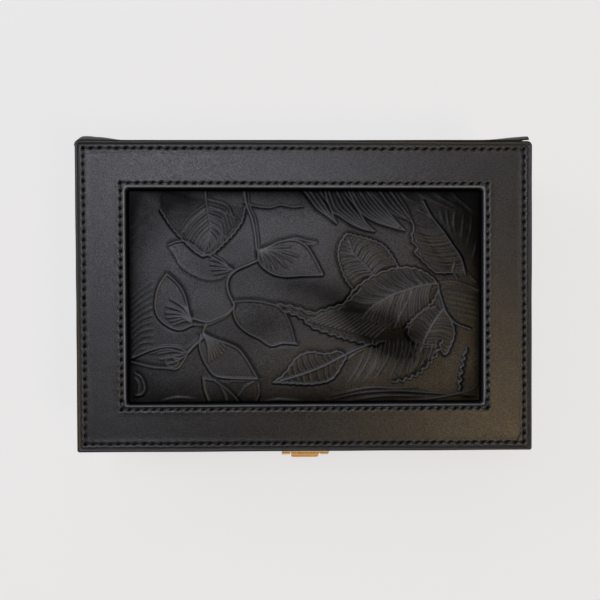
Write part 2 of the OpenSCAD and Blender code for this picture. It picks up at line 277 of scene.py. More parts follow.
def embossed(name, dark, light, ridge_highlight_col):
    """Thin leather pressed over foam: the raised lines carry a painted highlight, lighter and glossier, and painted
    shade darkens the hollows and dulls them.
    """
    m, nt, bs = new_mat(name)
    co = coords(nt)
    cloud = tex_noise(nt, co, 45, 4, 0.6)
    col = ramp(nt, cloud, [(0.3, dark), (0.75, light)])
    for attr, to, top in (("ridge_painted_highlight", ridge_highlight_col, 0.85), ("panel_painted_shade", (0.0012, 0.0012, 0.0012), 0.9)):
        at = nt.nodes.new("ShaderNodeAttribute")
        at.attribute_name = attr
        mix = nt.nodes.new("ShaderNodeMix")
        mix.data_type = "RGBA"
        nt.links.new(maprange(nt, at.outputs["Fac"], 0.0, 1.0, 0.0, top), mix.inputs["Factor"])
        nt.links.new(col, mix.inputs["A"])
        mix.inputs["B"].default_value = (*to, 1)
        col = mix.outputs["Result"]
        # the painted shade also takes the gloss away
        if attr == "panel_painted_shade":
            fleck = maprange(nt, tex_noise(nt, co, 1900, 3, 0.7), 0.36, 0.64, 0.52, 1.48)
            nt.links.new(mathn(nt, "MULTIPLY", fleck, maprange(nt, at.outputs["Fac"], 0.0, 1.0, 0.86, 0.02)), bs.inputs["Specular IOR Level"])
    nt.links.new(col, bs.inputs["Base Color"])
    fine = tex_noise(nt, co, 1500, 2, 0.6)
    r = mathn(nt, "ADD", maprange(nt, cloud, 0.3, 0.7, 0.38, 0.45), maprange(nt, fine, 0.3, 0.7, -0.03, 0.04))
    nt.links.new(r, bs.inputs["Roughness"])
    cell = maprange(nt, tex_voronoi(nt, co, 1900), 0.0, 0.25, 0.0, 1.0)
    n0 = bump(nt, tex_noise(nt, co, 220, 3, 0.5), 0.25, 0.0001)
    n1 = bump(nt, fine, 0.35, 0.00006, n0)
    nt.links.new(bump(nt, cell, 0.35, 0.00002, n1), bs.inputs["Normal"])
    return m


def velvet(name, dark, light):
    m, nt, bs = new_mat(name)
    co = coords(nt)
    nap = tex_noise(nt, co, 55, 4, 0.65)
    nt.links.new(ramp(nt, nap, [(0.3, dark), (0.7, light)]), bs.inputs["Base Color"])
    bs.inputs["Roughness"].default_value = 0.92
    bs.inputs["Specular IOR Level"].default_value = 0.15
    bs.inputs["Sheen Weight"].default_value = 0.55
    bs.inputs["Sheen Roughness"].default_value = 0.35
    bs.inputs["Sheen Tint"].default_value = (0.75, 0.77, 0.82, 1)
    pile = tex_noise(nt, co, 2600, 2, 0.7)
    n1 = bump(nt, nap, 0.3, 0.0002)
    nt.links.new(bump(nt, pile, 0.7, 0.0001, n1), bs.inputs["Normal"])
    return m


def brass(name, a, b, rough=0.2, metal=1.0):
    m, nt, bs = new_mat(name)
    co = coords(nt)
    cloud = tex_noise(nt, co, 260, 4, 0.6)
    nt.links.new(ramp(nt, cloud, [(0.3, a), (0.7, b)]), bs.inputs["Base Color"])
    bs.inputs["Metallic"].default_value = metal
    nt.links.new(maprange(nt, tex_noise(nt, co, 300, 2, 0.5), 0.3, 0.7, rough * 0.9, rough * 1.2), bs.inputs["Roughness"])
    nt.links.new(bump(nt, tex_noise(nt, co, 420, 2, 0.5), 0.12, 0.00003), bs.inputs["Normal"])
    return m


def plain(name, a, b, scale, rough, bumpd, bscale):
    m, nt, bs = new_mat(name)
    co = coords(nt)
    nt.links.new(ramp(nt, tex_noise(nt, co, scale, 5, 0.65), [(0.3, a), (0.7, b)]), bs.inputs["Base Color"])
    bs.inputs["Roughness"].default_value = rough
    nt.links.new(bump(nt, tex_noise(nt, co, bscale, 3, 0.6), 0.4, bumpd), bs.inputs["Normal"])
    return m


M_LEATHER = leather("black_leatherette", (0.010, 0.010, 0.011), (0.016, 0.016, 0.017))
M_COVER = leather("stitched_leatherette", (0.009, 0.009, 0.010), (0.017, 0.017, 0.018), rough=(0.33, 0.38), grain=1250, grain_d=0.00003, cover_painted_shade=True, mid_s=1.0, spec=0.90)
M_EDGE = leather("edge_leatherette", (0.012, 0.012, 0.013), (0.020, 0.019, 0.019), rough=(0.34, 0.40), grain_d=0.00003, spec=0.9)
# the last colour is the painted highlight on the raised lines
M_PANEL = embossed("embossed_leatherette", (0.006, 0.006, 0.0065), (0.011, 0.011, 0.012), (0.165, 0.180, 0.208))
M_STRIP = leather("strip_leatherette", (0.010, 0.010, 0.010), (0.017, 0.017, 0.016), rough=(0.42, 0.52), grain_d=0.00003, spec=0.5)
# painted fill light: the recess wall's leatherette is lighter than the cover's, to lift the shade in the window's
# recess
M_WALL = leather("recess_leatherette", (0.016, 0.016, 0.017), (0.026, 0.026, 0.027), rough=(0.42, 0.55))
M_THREAD, _nt, _bs = new_mat("black_thread")
_co = coords(_nt)
_nt.links.new(ramp(_nt, tex_noise(_nt, _co, 1200, 2, 0.5), [(0.3, (0.020, 0.022, 0.026)), (0.7, (0.036, 0.040, 0.047))]),
              _bs.inputs["Base Color"])
_bs.inputs["Roughness"].default_value = 0.45
_bs.inputs["Specular IOR Level"].default_value = 0.75
_nt.links.new(bump(_nt, tex_noise(_nt, _co, 4200, 1, 0.5), 0.4, 0.00003), _bs.inputs["Normal"])
M_VELVET = velvet("charcoal_velvet", (0.034, 0.034, 0.037), (0.058, 0.058, 0.062))
M_ROLL = velvet("roll_velvet", (0.044, 0.044, 0.048), (0.072, 0.072, 0.078))
M_BRASS = brass("brass", (0.86, 0.60, 0.28), (0.90, 0.67, 0.35), 0.27)
M_BRASS_FLAP = brass("brass_flap", (0.86, 0.48, 0.17), (0.90, 0.55, 0.22), 0.36, 0.85)
M_BOARD = plain("raw_board", (0.34, 0.27, 0.19), (0.44, 0.36, 0.26), 300, 0.9, 0.0001, 900)
M_FOAM = plain("foam", (0.05, 0.05, 0.05), (0.09, 0.09, 0.09), 900, 0.95, 0.0002, 2200)
M_UNDER = plain("paper_felt", (0.010, 0.010, 0.011), (0.020, 0.020, 0.021), 420, 0.95, 0.00012, 2500)
M_MIRROR, _nt, _bs = new_mat("mirror_glass")
_co = coords(_nt)
_bs.inputs["Metallic"].default_value = 1.0
_nt.links.new(ramp(_nt, tex_noise(_nt, _co, 20, 2, 0.5), [(0.3, (0.86, 0.88, 0.88)), (0.7, (0.89, 0.91, 0.91))]),
              _bs.inputs["Base Color"])
_nt.links.new(maprange(_nt, tex_noise(_nt, _co, 30, 4, 0.6), 0.3, 0.7, 0.015, 0.04), _bs.inputs["Roughness"])

# ------------------------------------------------------------------ stitched border of the lid
OH_X, OH_Y = BW / 2 - SHOW - 0.5, BD / 2 - SHOW - 0.52   # outer edge of the cover
IH_X, IH_Y = WIN_W / 2 - 0.6, WIN_D / 2 - 0.52            # window edge
SPAN = OH_X - IH_X
D_OUT, D_IN = 2.1, SPAN - 2.5                       # stitch lines, as a distance from the outer edge


def rect_at(d):
    t = d / SPAN
    return OH_X + (IH_X - OH_X) * t, OH_Y + (IH_Y - OH_Y) * t


jit = np.random.default_rng(77)


def stitch_holes(d):
    """Needle holes round the rectangle at distance d, four sides of points, counter-clockwise."""
    hx, hy = rect_at(d)
    sides = []
    for a, b in (((-hx, -hy), (hx, -hy)), ((hx, -hy), (hx, hy)), ((hx, hy), (-hx, hy)), ((-hx, hy), (-hx, -hy))):
        a, b = np.array(a, float), np.array(b, float)
        n = int(round(np.linalg.norm(b - a) / 3.6))
        u = np.arange(n + 1) / n
        off = jit.uniform(-1, 1, (n + 1, 2)) * [0.30, 0.13]
        off[0] = off[-1] = 0
        t = (b - a) / np.linalg.norm(b - a)
        sides.append(a + (b - a) * u[:, None] + t * off[:, :1] + np.array([-t[1], t[0]]) * off[:, 1:])
    return sides


def warp(v):
    """The lid's back left corner is pulled out a little."""
    v = np.array(v, float)
    s = np.clip((v[:, 1] + 25) / 93, 0, 1) ** 1.4 * np.clip((-v[:, 0] - 84) / 16, 0, 1) ** 2
    v[:, 0] -= 0.25 * s
    v[:, 1] += np.clip(v[:, 1] / 40, 0, 1) ** 2 * (0.28 - 0.20 * np.clip(v[:, 0] / 80, -1, 1))
    v[:, 1] = np.where(v[:, 2] < 61.25, np.minimum(v[:, 1], 68.16), v[:, 1])     # stays under the hinge strip
    return v


OUT_HOLES, IN_HOLES = stitch_holes(D_OUT), stitch_holes(D_IN)
rows = [(0.15, -1.3), (0.0, -0.85), (0.06, -0.5), (0.22, -0.2), (0.5, -0.04)]
rows += [(d, 0.0) for d in np.arange(0.78, 3.6, 0.2)]
rows += [(d, 0.0) for d in np.arange(3.9, D_IN - 1.6, 0.86)]
rows += [(d, 0.0) for d in np.arange(D_IN - 1.4, SPAN - 1.0, 0.2)]
rows += [(SPAN - 0.88, 0.0), (SPAN - 0.68, -0.05), (SPAN - 0.46, -0.18), (SPAN - 0.24, -0.42), (SPAN - 0.08, -0.75),
         (SPAN, -1.2), (SPAN + 0.02, -2.6), (SPAN + 0.02, -5.0), (SPAN + 0.02, -7.4), (SPAN + 0.02, -8.3), (SPAN + 0.2, -8.53),
         (SPAN + 1.2, -8.55), (SPAN + 3.0, -8.55)]
NX, NY, NC = 380, 250, 8
V = []
for d, dz in rows:
    hx, hy = rect_at(min(d, SPAN))
    if d > SPAN:
        hx, hy = hx - (d - SPAN), hy - (d - SPAN)
    t = min(d / SPAN, 1)
    p = rr_loop(hx, hy, [q * (1 - t) + w * t for q, w in zip((0.7, 1.7, 1.3, 0.7), (1.0, 1.7, 1.7, 1.2))], NX, NY, NC)
    V.append(np.column_stack([p, np.full(len(p), LID_TOP + dz), np.full(len(p), d), np.full(len(p), dz)]))
    assert len(p) == 2 * (NX + NY) + 4 * NC
V = np.concatenate(V)
x, y, z, d, dz = V.T
flat = np.clip(1 + dz / 1.0, 0, 1)
along = np.where(np.abs(x) / OH_X * OH_Y > np.abs(y), y, x)
# broad lie of the leather
z = z + flat * 0.10 * noise2(x, y, 34, 3, 2) + flat * 0.035 * noise2(x, y, 7, 5, 2)


def groove(d0, depth, w):
    return -depth * np.exp(-((d - d0) / w) ** 2)


near_out = np.exp(-((d - D_OUT) / 1.6) ** 2)
near_in = np.exp(-((d - D_IN) / 1.6) ** 2)
z = z + groove(D_OUT, 0.11, 0.34) + groove(D_IN, 0.11, 0.34)
z = z + 0.11 * np.exp(-((d - (D_OUT - 1.15)) / 0.75) ** 2) + 0.10 * np.exp(-((d - (D_OUT + 1.2)) / 0.8) ** 2)
z = z + 0.09 * np.exp(-((d - (D_IN - 1.2)) / 0.8) ** 2) + 0.26 * np.exp(-((d - (SPAN - 0.95)) / 0.48) ** 2) - 0.08 * np.exp(-((d - (SPAN - 1.8)) / 0.4) ** 2)
# dark collects the cover's painted shade
dark = np.zeros(len(x))
for holes, d0 in ((OUT_HOLES, D_OUT), (IN_HOLES, D_IN)):
    pts = np.concatenate(holes)
    tans = np.concatenate([np.tile((s[-1] - s[0]) / np.linalg.norm(s[-1] - s[0]), (len(s), 1)) for s in holes])
    deep = jit.uniform(0.72, 1.08, len(pts))
    lean = jit.uniform(0.30, 0.75, len(pts))                      # the needle's slit leans across the row
    slit = np.column_stack([tans[:, 0] * np.cos(lean) - tans[:, 1] * np.sin(lean), tans[:, 0] * np.sin(lean) + tans[:, 1] * np.cos(lean)])
    band = np.abs(d - d0) < 2.6
    bx, by, bd = x[band], y[band], d[band]
    dist = np.full(len(bx), 9.0)
    rnd = np.full(len(bx), 9.0)
    for q, w, k in zip(np.array_split(pts, 12), np.array_split(slit, 12), np.array_split(deep, 12)):
        ex, ey = bx[:, None] - q[:, 0], by[:, None] - q[:, 1]
        al, ac = ex * w[:, 0] + ey * w[:, 1], -ex * w[:, 1] + ey * w[:, 0]
        dist = np.minimum(dist, np.sqrt(((al / 1.45) ** 2 + (ac / 0.85) ** 2) / k ** 2).min(1))
        rnd = np.minimum(rnd, np.sqrt((ex ** 2 + ey ** 2).min(1)))
    ad = np.abs(bd - d0)
    dip = -0.80 * np.exp(-(dist / 0.46) ** 2)                     # needle hole
    # painted shade: near black in each needle hole, and a thin line of it along the stitch groove
    dark[band] = np.maximum(dark[band], np.exp(-(dist / 0.47) ** 4) * np.clip(1 + dz[band], 0, 1))
    dark[band] = np.maximum(dark[band], 0.26 * np.exp(-(ad / 0.26) ** 2) * np.clip(1 + dz[band], 0, 1))
    pucker = -0.15 * np.exp(-(rnd / 1.1) ** 2) + 0.08 * np.exp(-(ad / 1.2) ** 2) * np.clip(rnd / 1.8, 0, 1) ** 2
    z[band] += (dip + pucker) * np.clip(1 + dz[band], 0, 1)
# painted shade: darker along the front edge and towards the left and right ends of the lid
painted_edge_shade = (0.30 * np.exp(-((x + 2) / 62) ** 4) * np.clip((-y - 48) / 4, 0, 1) + 0.09 * np.clip((-x - 80) / 6, 0, 1) * np.exp(-((y - 5) / 30) ** 2) + 0.07 * np.clip((x - 80) / 6, 0, 1) * np.exp(-((y - 5) / 30) ** 2)) * flat
dark = np.maximum(dark, painted_edge_shade)
# small folds in the corners of the window, where the cover is cut and turned
cx, cy = IH_X, IH_Y
rc = np.hypot(np.abs(x) - cx, np.abs(y) - cy)
z = z + 0.10 * np.exp(-(rc / 3.0) ** 2) * np.sin((np.abs(x) - cx) * 2.2 - (np.abs(y) - cy) * 1.6) * flat
verts = warp(np.column_stack([x, y, z]))
cols = 2 * (NX + NY) + 4 * NC
f = quads(len(rows), cols)
row_of = np.repeat(np.arange(len(rows) - 1), cols)
wall_rows = np.array([1 if rows[k + 1][1] < -1.2 and rows[k][0] > SPAN - 1 else 0 for k in range(len(rows) - 1)])
cover = make("lid_cover", verts, f, None, mats=[M_COVER, M_WALL], mat_index=wall_rows[row_of], body="lid")
# painted highlight along the rounded bead at the window's edge, narrower and weaker at the front
low = np.clip((-y - 44) / 2, 0, 1)
bead_painted_highlight = 0.95 * np.exp(-((d - (SPAN - 0.92 + 0.30 * low)) / (0.46 - 0.10 * low)) ** 2) * np.clip(1 + dz / 0.6, 0, 1) * (0.85 + 0.15 * noise2(x, y, 9, 41, 2)) * (1 - 0.35 * low)
att = cover.data.attributes.new("bead_painted_highlight", "FLOAT", "POINT")
att.data.foreach_set("value", bead_painted_highlight.astype(np.float32))
# painted shade attribute for the cover: needle holes, stitch grooves, front edge and ends
att = cover.data.attributes.new("cover_painted_shade", "FLOAT", "POINT")
att.data.foreach_set("value", dark.astype(np.float32))
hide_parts("lid_top_cover", "recess_lining")


# ------------------------------------------------------------------ thread
def tube(path, r, sides=8):
    """Points and faces of a closed tube along path."""
    path = np.asarray(path, float)
    tan = np.gradient(path, axis=0)
    tan /= np.linalg.norm(tan, axis=1)[:, None]
    up = np.array([0, 0, 1.0])
    a = np.cross(tan, up)
    a /= np.maximum(np.linalg.norm(a, axis=1), 1e-6)[:, None]
    b = np.cross(a, tan)
    ang = np.linspace(0, 2 * np.pi, sides, endpoint=False)
    rr = np.full(len(path), r) if np.isscalar(r) else np.asarray(r)
    v = path[:, None] + rr[:, None, None] * (np.cos(ang)[None, :, None] * a[:, None] + np.sin(ang)[None, :, None] * b[:, None])
    v = v.reshape(-1, 3)
    fs = [list(q) for q in quads(len(path), sides)]
    fs.append(list(range(sides))[::-1])
    fs.append(list(range((len(path) - 1) * sides, len(path) * sides)))
    return v, fs


def thread_row(name, holes, slant, skip=(), extra=(), node=None):
    vs, fs, n = [], [], 0
    for k, side in enumerate(holes):
        for i in range(len(side) - 1):
            if (k, i) in skip:
                continue
            a, b = side[i], side[i + 1]
            t = (b - a) / np.linalg.norm(b - a)
            nrm = np.array([-t[1], t[0]])
            s = slant * (1 + 0.5 * rng.uniform(-1, 1))
            u = np.linspace(0, 1, 9)
            base = a + (b - a) * (0.09 + 0.82 * u)[:, None] + nrm * (s * (u - 0.5))[:, None]
            lift = LID_TOP - 0.20 + 0.17 * np.sin(np.pi * u) ** 0.6 + 0.03 * rng.uniform(-1, 1)
            lift[0], lift[-1] = LID_TOP - 0.95, LID_TOP - 0.95
            lift[1], lift[-2] = LID_TOP - 0.42, LID_TOP - 0.42
            v, f2 = tube(np.column_stack([base, lift]), 0.21 * np.array([.8, .95, 1, 1, 1.03, 1, 1, .95, .8]))
            vs.append(v)
            fs += [[q + n for q in g] for g in f2]
            n += len(v)
    for path, r in extra:
        v, f2 = tube(path, r)
        vs.append(v)
        fs += [[q + n for q in g] for g in f2]
        n += len(v)
    ob = make(name, warp(np.concatenate(vs)), fs, M_THREAD, body="lid")
    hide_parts(node)
    return ob


# the thread has come loose at the front right corner and cuts across it
hx, hy = rect_at(D_OUT)
loose_a = OUT_HOLES[1][2]
loose_b = OUT_HOLES[0][-2]
u = np.linspace(0, 1, 14)
lp = loose_a + (loose_b - loose_a) * u[:, None]
lp = lp + np.array([0.7, -0.7]) / 1.4 * (0.25 * np.sin(np.pi * u))[:, None]
lz = LID_TOP + 0.16 + 0.25 * np.sin(np.pi * u)
lz[0] = lz[-1] = LID_TOP - 0.6
thread_row("outer_thread", OUT_HOLES, 0.32, skip={(1, 0), (1, 1), (0, len(OUT_HOLES[0]) - 2)},
           extra=[(np.column_stack([lp, lz]), 0.23)], node="outer_stitching")
thread_row("inner_thread", IN_HOLES, 0.26, node="inner_stitching")

# ------------------------------------------------------------------ lid edge wrap, base cover
ins = 7.0
prof = [(ins, LID_Z + 0.55), (ins, LID_Z + 0.12), (ins - 0.6, LID_Z + 0.02), (2.6, LID_Z), (1.2, LID_Z), (0.5, LID_Z + 0.08), (0.12, LID_Z + 0.4),
        (0.0, LID_Z + 1.0), (0.0, LID_Z + 3), (0.02, LID_Z + 5), (0.0, LID_Z + 7), (0.0, LID_Z + 9), (0.0, LID_TOP - 1.7),
        (0.05, LID_TOP - 1.25), (0.2, LID_TOP - 0.92), (0.45, LID_TOP - 0.72), (0.8, LID_TOP - 0.66), (1.1, LID_TOP - 0.72),
        (1.5, LID_TOP - 1.0), (2.2, LID_TOP - 1.15)]
CORNERS = (1.1, 2.2, 1.8, 1.1)                      # front right, back right, back left, front left
lw = sweep("lid_edge", BW / 2, BD / 2, CORNERS, prof, 120, 80, 10, M_EDGE, "lid", wobble=0.10)
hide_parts("lid_edge_wrap")
prof = [(6.0, 0.75), (6.0, 0.3), (5.4, 0.2), (3.0, 0.2), (1.2, 0.2), (0.5, 0.3), (0.14, 0.62), (0.0, 1.2)]
prof += [(0.0, q) for q in np.linspace(4, BASE_H - 3, 14)]
prof += [(0.0, BASE_H - 1.1), (0.14, BASE_H - 0.5), (0.45, BASE_H - 0.14), (1.0, BASE_H), (3.0, BASE_H + 0.02), (4.4, BASE_H),
         (4.85, BASE_H - 0.14), (5.0, BASE_H - 0.5), (5.0, BASE_H - 1.6)]
bc = sweep("base_cover", BW / 2, BD / 2, CORNERS, prof, 120, 80, 10, M_LEATHER, "base", wobble=0.12)
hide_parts("body_cover")

# ------------------------------------------------------------------ embossed panel
GS = 0.386
gx = np.linspace(-PAN_W / 2, PAN_W / 2, int(PAN_W / GS) + 1)
gy = np.linspace(-PAN_D / 2, PAN_D / 2, int(PAN_D / GS) + 1)
GX, GY = np.meshgrid(gx, gy, indexing="ij")
sx, sy = gx[1] - gx[0], gy[1] - gy[0]


def cat(points, step=0.14):
    """A smooth line through points, sampled every step mm."""
    p = np.asarray(points, float)
    if len(p) == 2:
        n = max(int(np.linalg.norm(p[1] - p[0]) / step), 2)
        return p[0] + (p[1] - p[0]) * np.linspace(0, 1, n)[:, None]
    q = np.vstack([2 * p[0] - p[1], p, 2 * p[-1] - p[-2]])
    out = []
    for i in range(1, len(q) - 2):
        a, b, c, e = q[i - 1], q[i], q[i + 1], q[i + 2]
        n = max(int(np.linalg.norm(c - b) / step), 2)
        t = np.linspace(0, 1, n, endpoint=False)[:, None]
        out.append(0.5 * (2 * b + (c - a) * t + (2 * a - 5 * b + 4 * c - e) * t ** 2 + (3 * b - a - 3 * c + e) * t ** 3))
    out.append(p[-1:])
    return np.concatenate(out)


def L(*pts):
    """Points on a sheet 1520 wide, turned into mm on the panel."""
    p = np.array(pts, float).reshape(-1, 2)
    return np.column_stack([(p[:, 0] / 4 - 184.5) * 0.4392, (115.6 - p[:, 1] / 4) * 0.4380])


RIDGE = np.zeros_like(GX)
GROOVE = np.zeros_like(GX)
PILLOW = np.zeros_like(GX)
LEAF_PAINTED_SHADE = np.zeros_like(GX)                            # painted shade (above 0) or painted sheen (below 0) over each leaf


def splat(arr, line, amp, sigma):
    ix = np.round((line[:, 0] - gx[0]) / sx).astype(int)
    iy = np.round((line[:, 1] - gy[0]) / sy).astype(int)
    R = int(np.ceil(2.6 * sigma / min(sx, sy)))
    ox, oy = np.meshgrid(np.arange(-R, R + 1), np.arange(-R, R + 1), indexing="ij")
    X = (ix[:, None] + ox.ravel()[None])
    Y = (iy[:, None] + oy.ravel()[None])
    ok = (X >= 0) & (X < len(gx)) & (Y >= 0) & (Y < len(gy))
    amp = np.broadcast_to(np.asarray(amp, float).reshape(-1, 1), X.shape)[ok]
    P = np.broadcast_to(line[:, None, :], (*X.shape, 2))[ok]
    X, Y = X[ok], Y[ok]
    d2 = (gx[X] - P[:, 0]) ** 2 + (gy[Y] - P[:, 1]) ** 2
    np.maximum.at(arr, (X, Y), amp * np.exp(-d2 / (2 * sigma ** 2)))


def wavy(line, amp, wl, seed=1, saw=False):
    t = np.gradient(line, axis=0)
    t /= np.maximum(np.linalg.norm(t, axis=1), 1e-9)[:, None]
    nrm = np.column_stack([-t[:, 1], t[:, 0]])
    s = np.concatenate([[0], np.cumsum(np.linalg.norm(np.diff(line, axis=0), axis=1))])
    g = np.random.default_rng(seed)
    ph = np.interp(s, np.arange(0, s[-1] + wl, wl), np.cumsum(g.uniform(0.7, 1.3, len(np.arange(0, s[-1] + wl, wl)))))
    w = 2 * np.abs(ph % 1 - 0.35) - 0.5 if saw else np.sin(2 * np.pi * ph)
    fade = np.clip(s / 2, 0, 1) * np.clip((s[-1] - s) / 2, 0, 1)
    return line + nrm * (amp * w * fade)[:, None]


def line(pts, amp=1.0, sigma=0.30, side=0, taper=False, wave=0, wl=4, seed=1, saw=False):
    """A raised line. side is +1 or -1 where a groove runs beside it, to its left or right."""
    p = cat(pts)
    if wave:
        p = wavy(p, wave, wl, seed, saw)
    a = np.full(len(p), amp)
    if taper:
        u = np.linspace(0, 1, len(p))
        a = amp * (0.50 + 0.50 * (1 - u)) if taper == 1 else amp * np.sin(np.pi * (0.08 + 0.84 * u))
    splat(RIDGE, p, a, sigma)
    if side:
        t = np.gradient(p, axis=0)
        t /= np.maximum(np.linalg.norm(t, axis=1), 1e-9)[:, None]
        off = p + side * 0.80 * np.column_stack([-t[:, 1], t[:, 0]])
        splat(GROOVE, off, a, 0.42)
    return p


def inside(poly):
    xs, ys = poly[:, 0], poly[:, 1]
    out = np.zeros(GX.shape, bool)
    ia = max(int((xs.min() - gx[0]) / sx), 0)
    ib = min(int((xs.max() - gx[0]) / sx) + 2, len(gx))
    ja = max(int((ys.min() - gy[0]) / sy), 0)
    jb = min(int((ys.max() - gy[0]) / sy) + 2, len(gy))
    X, Y = GX[ia:ib, ja:jb], GY[ia:ib, ja:jb]
    c = np.zeros(X.shape, bool)
    p = poly[::6]
    q = np.roll(p, -1, 0)
    for (x1, y1), (x2, y2) in zip(p, q):
        if y1 == y2:
            continue
        hit = ((y1 > Y) != (y2 > Y)) & (X < (x2 - x1) * (Y - y1) / (y2 - y1) + x1)
        c ^= hit
    out[ia:ib, ja:jb] = c
    return out


def fill(*lines_, amp=1.0, leaf_painted_shade=0.0):
    """Raises the area between outlines, joined end to end."""
    m = inside(np.concatenate(lines_))
    # painted shade or painted sheen for this leaf
    LEAF_PAINTED_SHADE[m] = leaf_painted_shade
    np.maximum(PILLOW, m * amp, out=PILLOW)
    return m


def between(a, b, n, reach=(0.05, 0.95), amp=0.5, sigma=0.27, bend=0.0, jit=0.03, ends=(0.04, 0.96), shift=0.0, seed=3):
    """Fine lines from curve a to curve b."""
    g = np.random.default_rng(seed)
    A, B = cat(a), cat(b)
    for k in range(n):
        u = ends[0] + (ends[1] - ends[0]) * (k + 0.5) / n + g.uniform(-jit, jit) / 2
        v = min(max(u + shift, 0), 1)
        p, q = A[int(np.clip(u, 0, 1) * (len(A) - 1))], B[int(v * (len(B) - 1))]
        r0, r1 = reach[0] + g.uniform(0, 0.05), reach[1] - g.uniform(0, 0.12)
        s, e = p + (q - p) * r0, p + (q - p) * r1
        nrm = np.array([-(e - s)[1], (e - s)[0]])
        mid = (s + e) / 2 + nrm * bend
        line([s, mid, e], amp * g.uniform(0.7, 1.05), sigma, taper=1)


# --- leaf, top left, serrated
lft = L(165, 115, 205, 178, 250, 232, 300, 280, 330, 300)
rgt = L(500, 108, 488, 160, 458, 205, 420, 245, 372, 288, 330, 300)
mid = L(343, 40, 350, 110, 360, 178, 356, 235, 332, 295)
a = line(lft, 1, side=-1, wave=0.35, wl=2.4, seed=2, saw=True)
b = line(rgt, 1, side=1, wave=0.45, wl=2.6, seed=4, saw=True)
fill(a, b[::-1], L(500, 40, 165, 40), leaf_painted_shade=0.24)
line(mid, 0.9)
between(mid, rgt, 18, bend=0.22, shift=0.20, amp=1.1, seed=5, ends=(0.06, 0.80), sigma=0.28)
between(mid, lft, 16, bend=-0.06, shift=0.26, amp=1.1, seed=6, ends=(0.16, 0.74), sigma=0.28)
line(L(360, 178, 400, 200, 430, 238), 0.8)
line(L(352, 115, 410, 122, 470, 150), 0.7)
line(L(357, 180, 320, 215, 300, 262), 0.7)
# --- stem down from the top edge and the leaf it carries
line(L(497, 40, 508, 100, 528, 150, 540, 210, 547, 275), 1, 0.42, side=1)
line(L(510, 40, 520, 100, 541, 150, 552, 215, 557, 268), 0.6, 0.3)
top = L(550, 277, 590, 264, 640, 242, 700, 237, 745, 262, 778, 312, 810, 376)
bot = L(550, 282, 560, 330, 602, 366, 655, 381, 722, 378, 810, 376)
a = line(top, 1, side=1)
b = line(bot, 1, side=-1)
fill(a, b[::-1], leaf_painted_shade=-0.08)
for e in (L(555, 280, 600, 288, 650, 322), L(555, 281, 596, 300, 628, 348), L(555, 282, 585, 312, 600, 355), L(558, 279, 620, 276, 710, 300),
          L(558, 278, 612, 266, 680, 262), L(557, 284, 575, 322, 582, 350), L(556, 280, 606, 294, 662, 344), L(557, 279, 616, 282, 690, 322)):
    line(e, 1.0, 0.28, taper=1)
line(L(648, 240, 700, 229, 750, 240, 787, 246), 0.9, side=1)
line(L(787, 246, 765, 254, 738, 250), 0.7)
line(L(497, 86, 540, 100, 600, 106, 640, 96, 690, 104, 730, 100), 0.75, side=-1)
# --- main stem
line(L(548, 318, 510, 335, 470, 352, 440, 377, 429, 408, 433, 442, 447, 475, 457, 498), 1, 0.42, side=1)
line(L(457, 498, 432, 527, 392, 547, 345, 562, 290, 548), 0.95, 0.4, side=1)
line(L(450, 512, 425, 540, 385, 560, 345, 574, 290, 574), 0.7, 0.32)
line(L(342, 572, 334, 598, 330, 622), 0.9, 0.42, side=-1)
# --- leaf, upper left
a = line(L(193, 256, 222, 243, 258, 240, 292, 256, 330, 286, 372, 306, 412, 330, 450, 352), 0.9, side=1)
b = line(L(193, 256, 222, 302, 246, 342, 300, 378, 350, 394, 402, 388, 450, 354), 0.22, 0.5)
fill(a, b[::-1], amp=0.35)
for e in (L(450, 352, 412, 328, 360, 312), L(450, 352, 410, 340, 362, 332), L(450, 353, 412, 352, 368, 354), L(450, 354, 418, 364, 380, 372)):
    line(e, 0.85, 0.28, taper=1)
line(L(372, 292, 405, 312, 432, 336), 0.8)
# --- leaf, left
a = line(L(188, 370, 222, 400, 250, 436, 266, 480, 276, 522, 287, 556), 1, side=1)
b = line(L(188, 370, 160, 410, 146, 452, 141, 500, 156, 546, 196, 580, 242, 593, 287, 574), 1, side=-1)
fill(a, b[::-1])
for k, e in enumerate(((202, 470), (188, 500), (183, 525), (188, 545), (205, 560), (222, 480), (212, 575), (238, 488))):
    line(L(287, 566, (287 + e[0]) / 2 + 8, (566 + e[1]) / 2 - 14, e[0], e[1]), 1.0, 0.27, taper=1)
# --- smooth leaf in the middle
a = line(L(455, 482, 520, 478, 582, 486, 632, 502, 662, 538, 682, 584, 697, 640, 708, 652), 0.75, side=1)
b = line(L(455, 486, 455, 532, 474, 574, 512, 607, 556, 630, 602, 658, 650, 648, 708, 652), 1, side=-1)
fill(a, b[::-1])
# --- leaf below it
a = line(L(330, 604, 370, 628, 430, 650, 472, 672, 502, 710, 530, 758, 549, 792), 1, side=1)
b = line(L(322, 612, 317, 660, 330, 706, 350, 745, 376, 776, 422, 787, 482, 790, 549, 792), 1, side=-1)
fill(a, b[::-1], leaf_painted_shade=-0.14)
for e in ((402, 690), (378, 706), (354, 722), (424, 668), (390, 700), (412, 678), (366, 716)):
    line(L(332, 612, (332 + e[0]) / 2 + 6, (612 + e[1]) / 2 - 8, e[0], e[1]), 1.0, 0.27, taper=1)
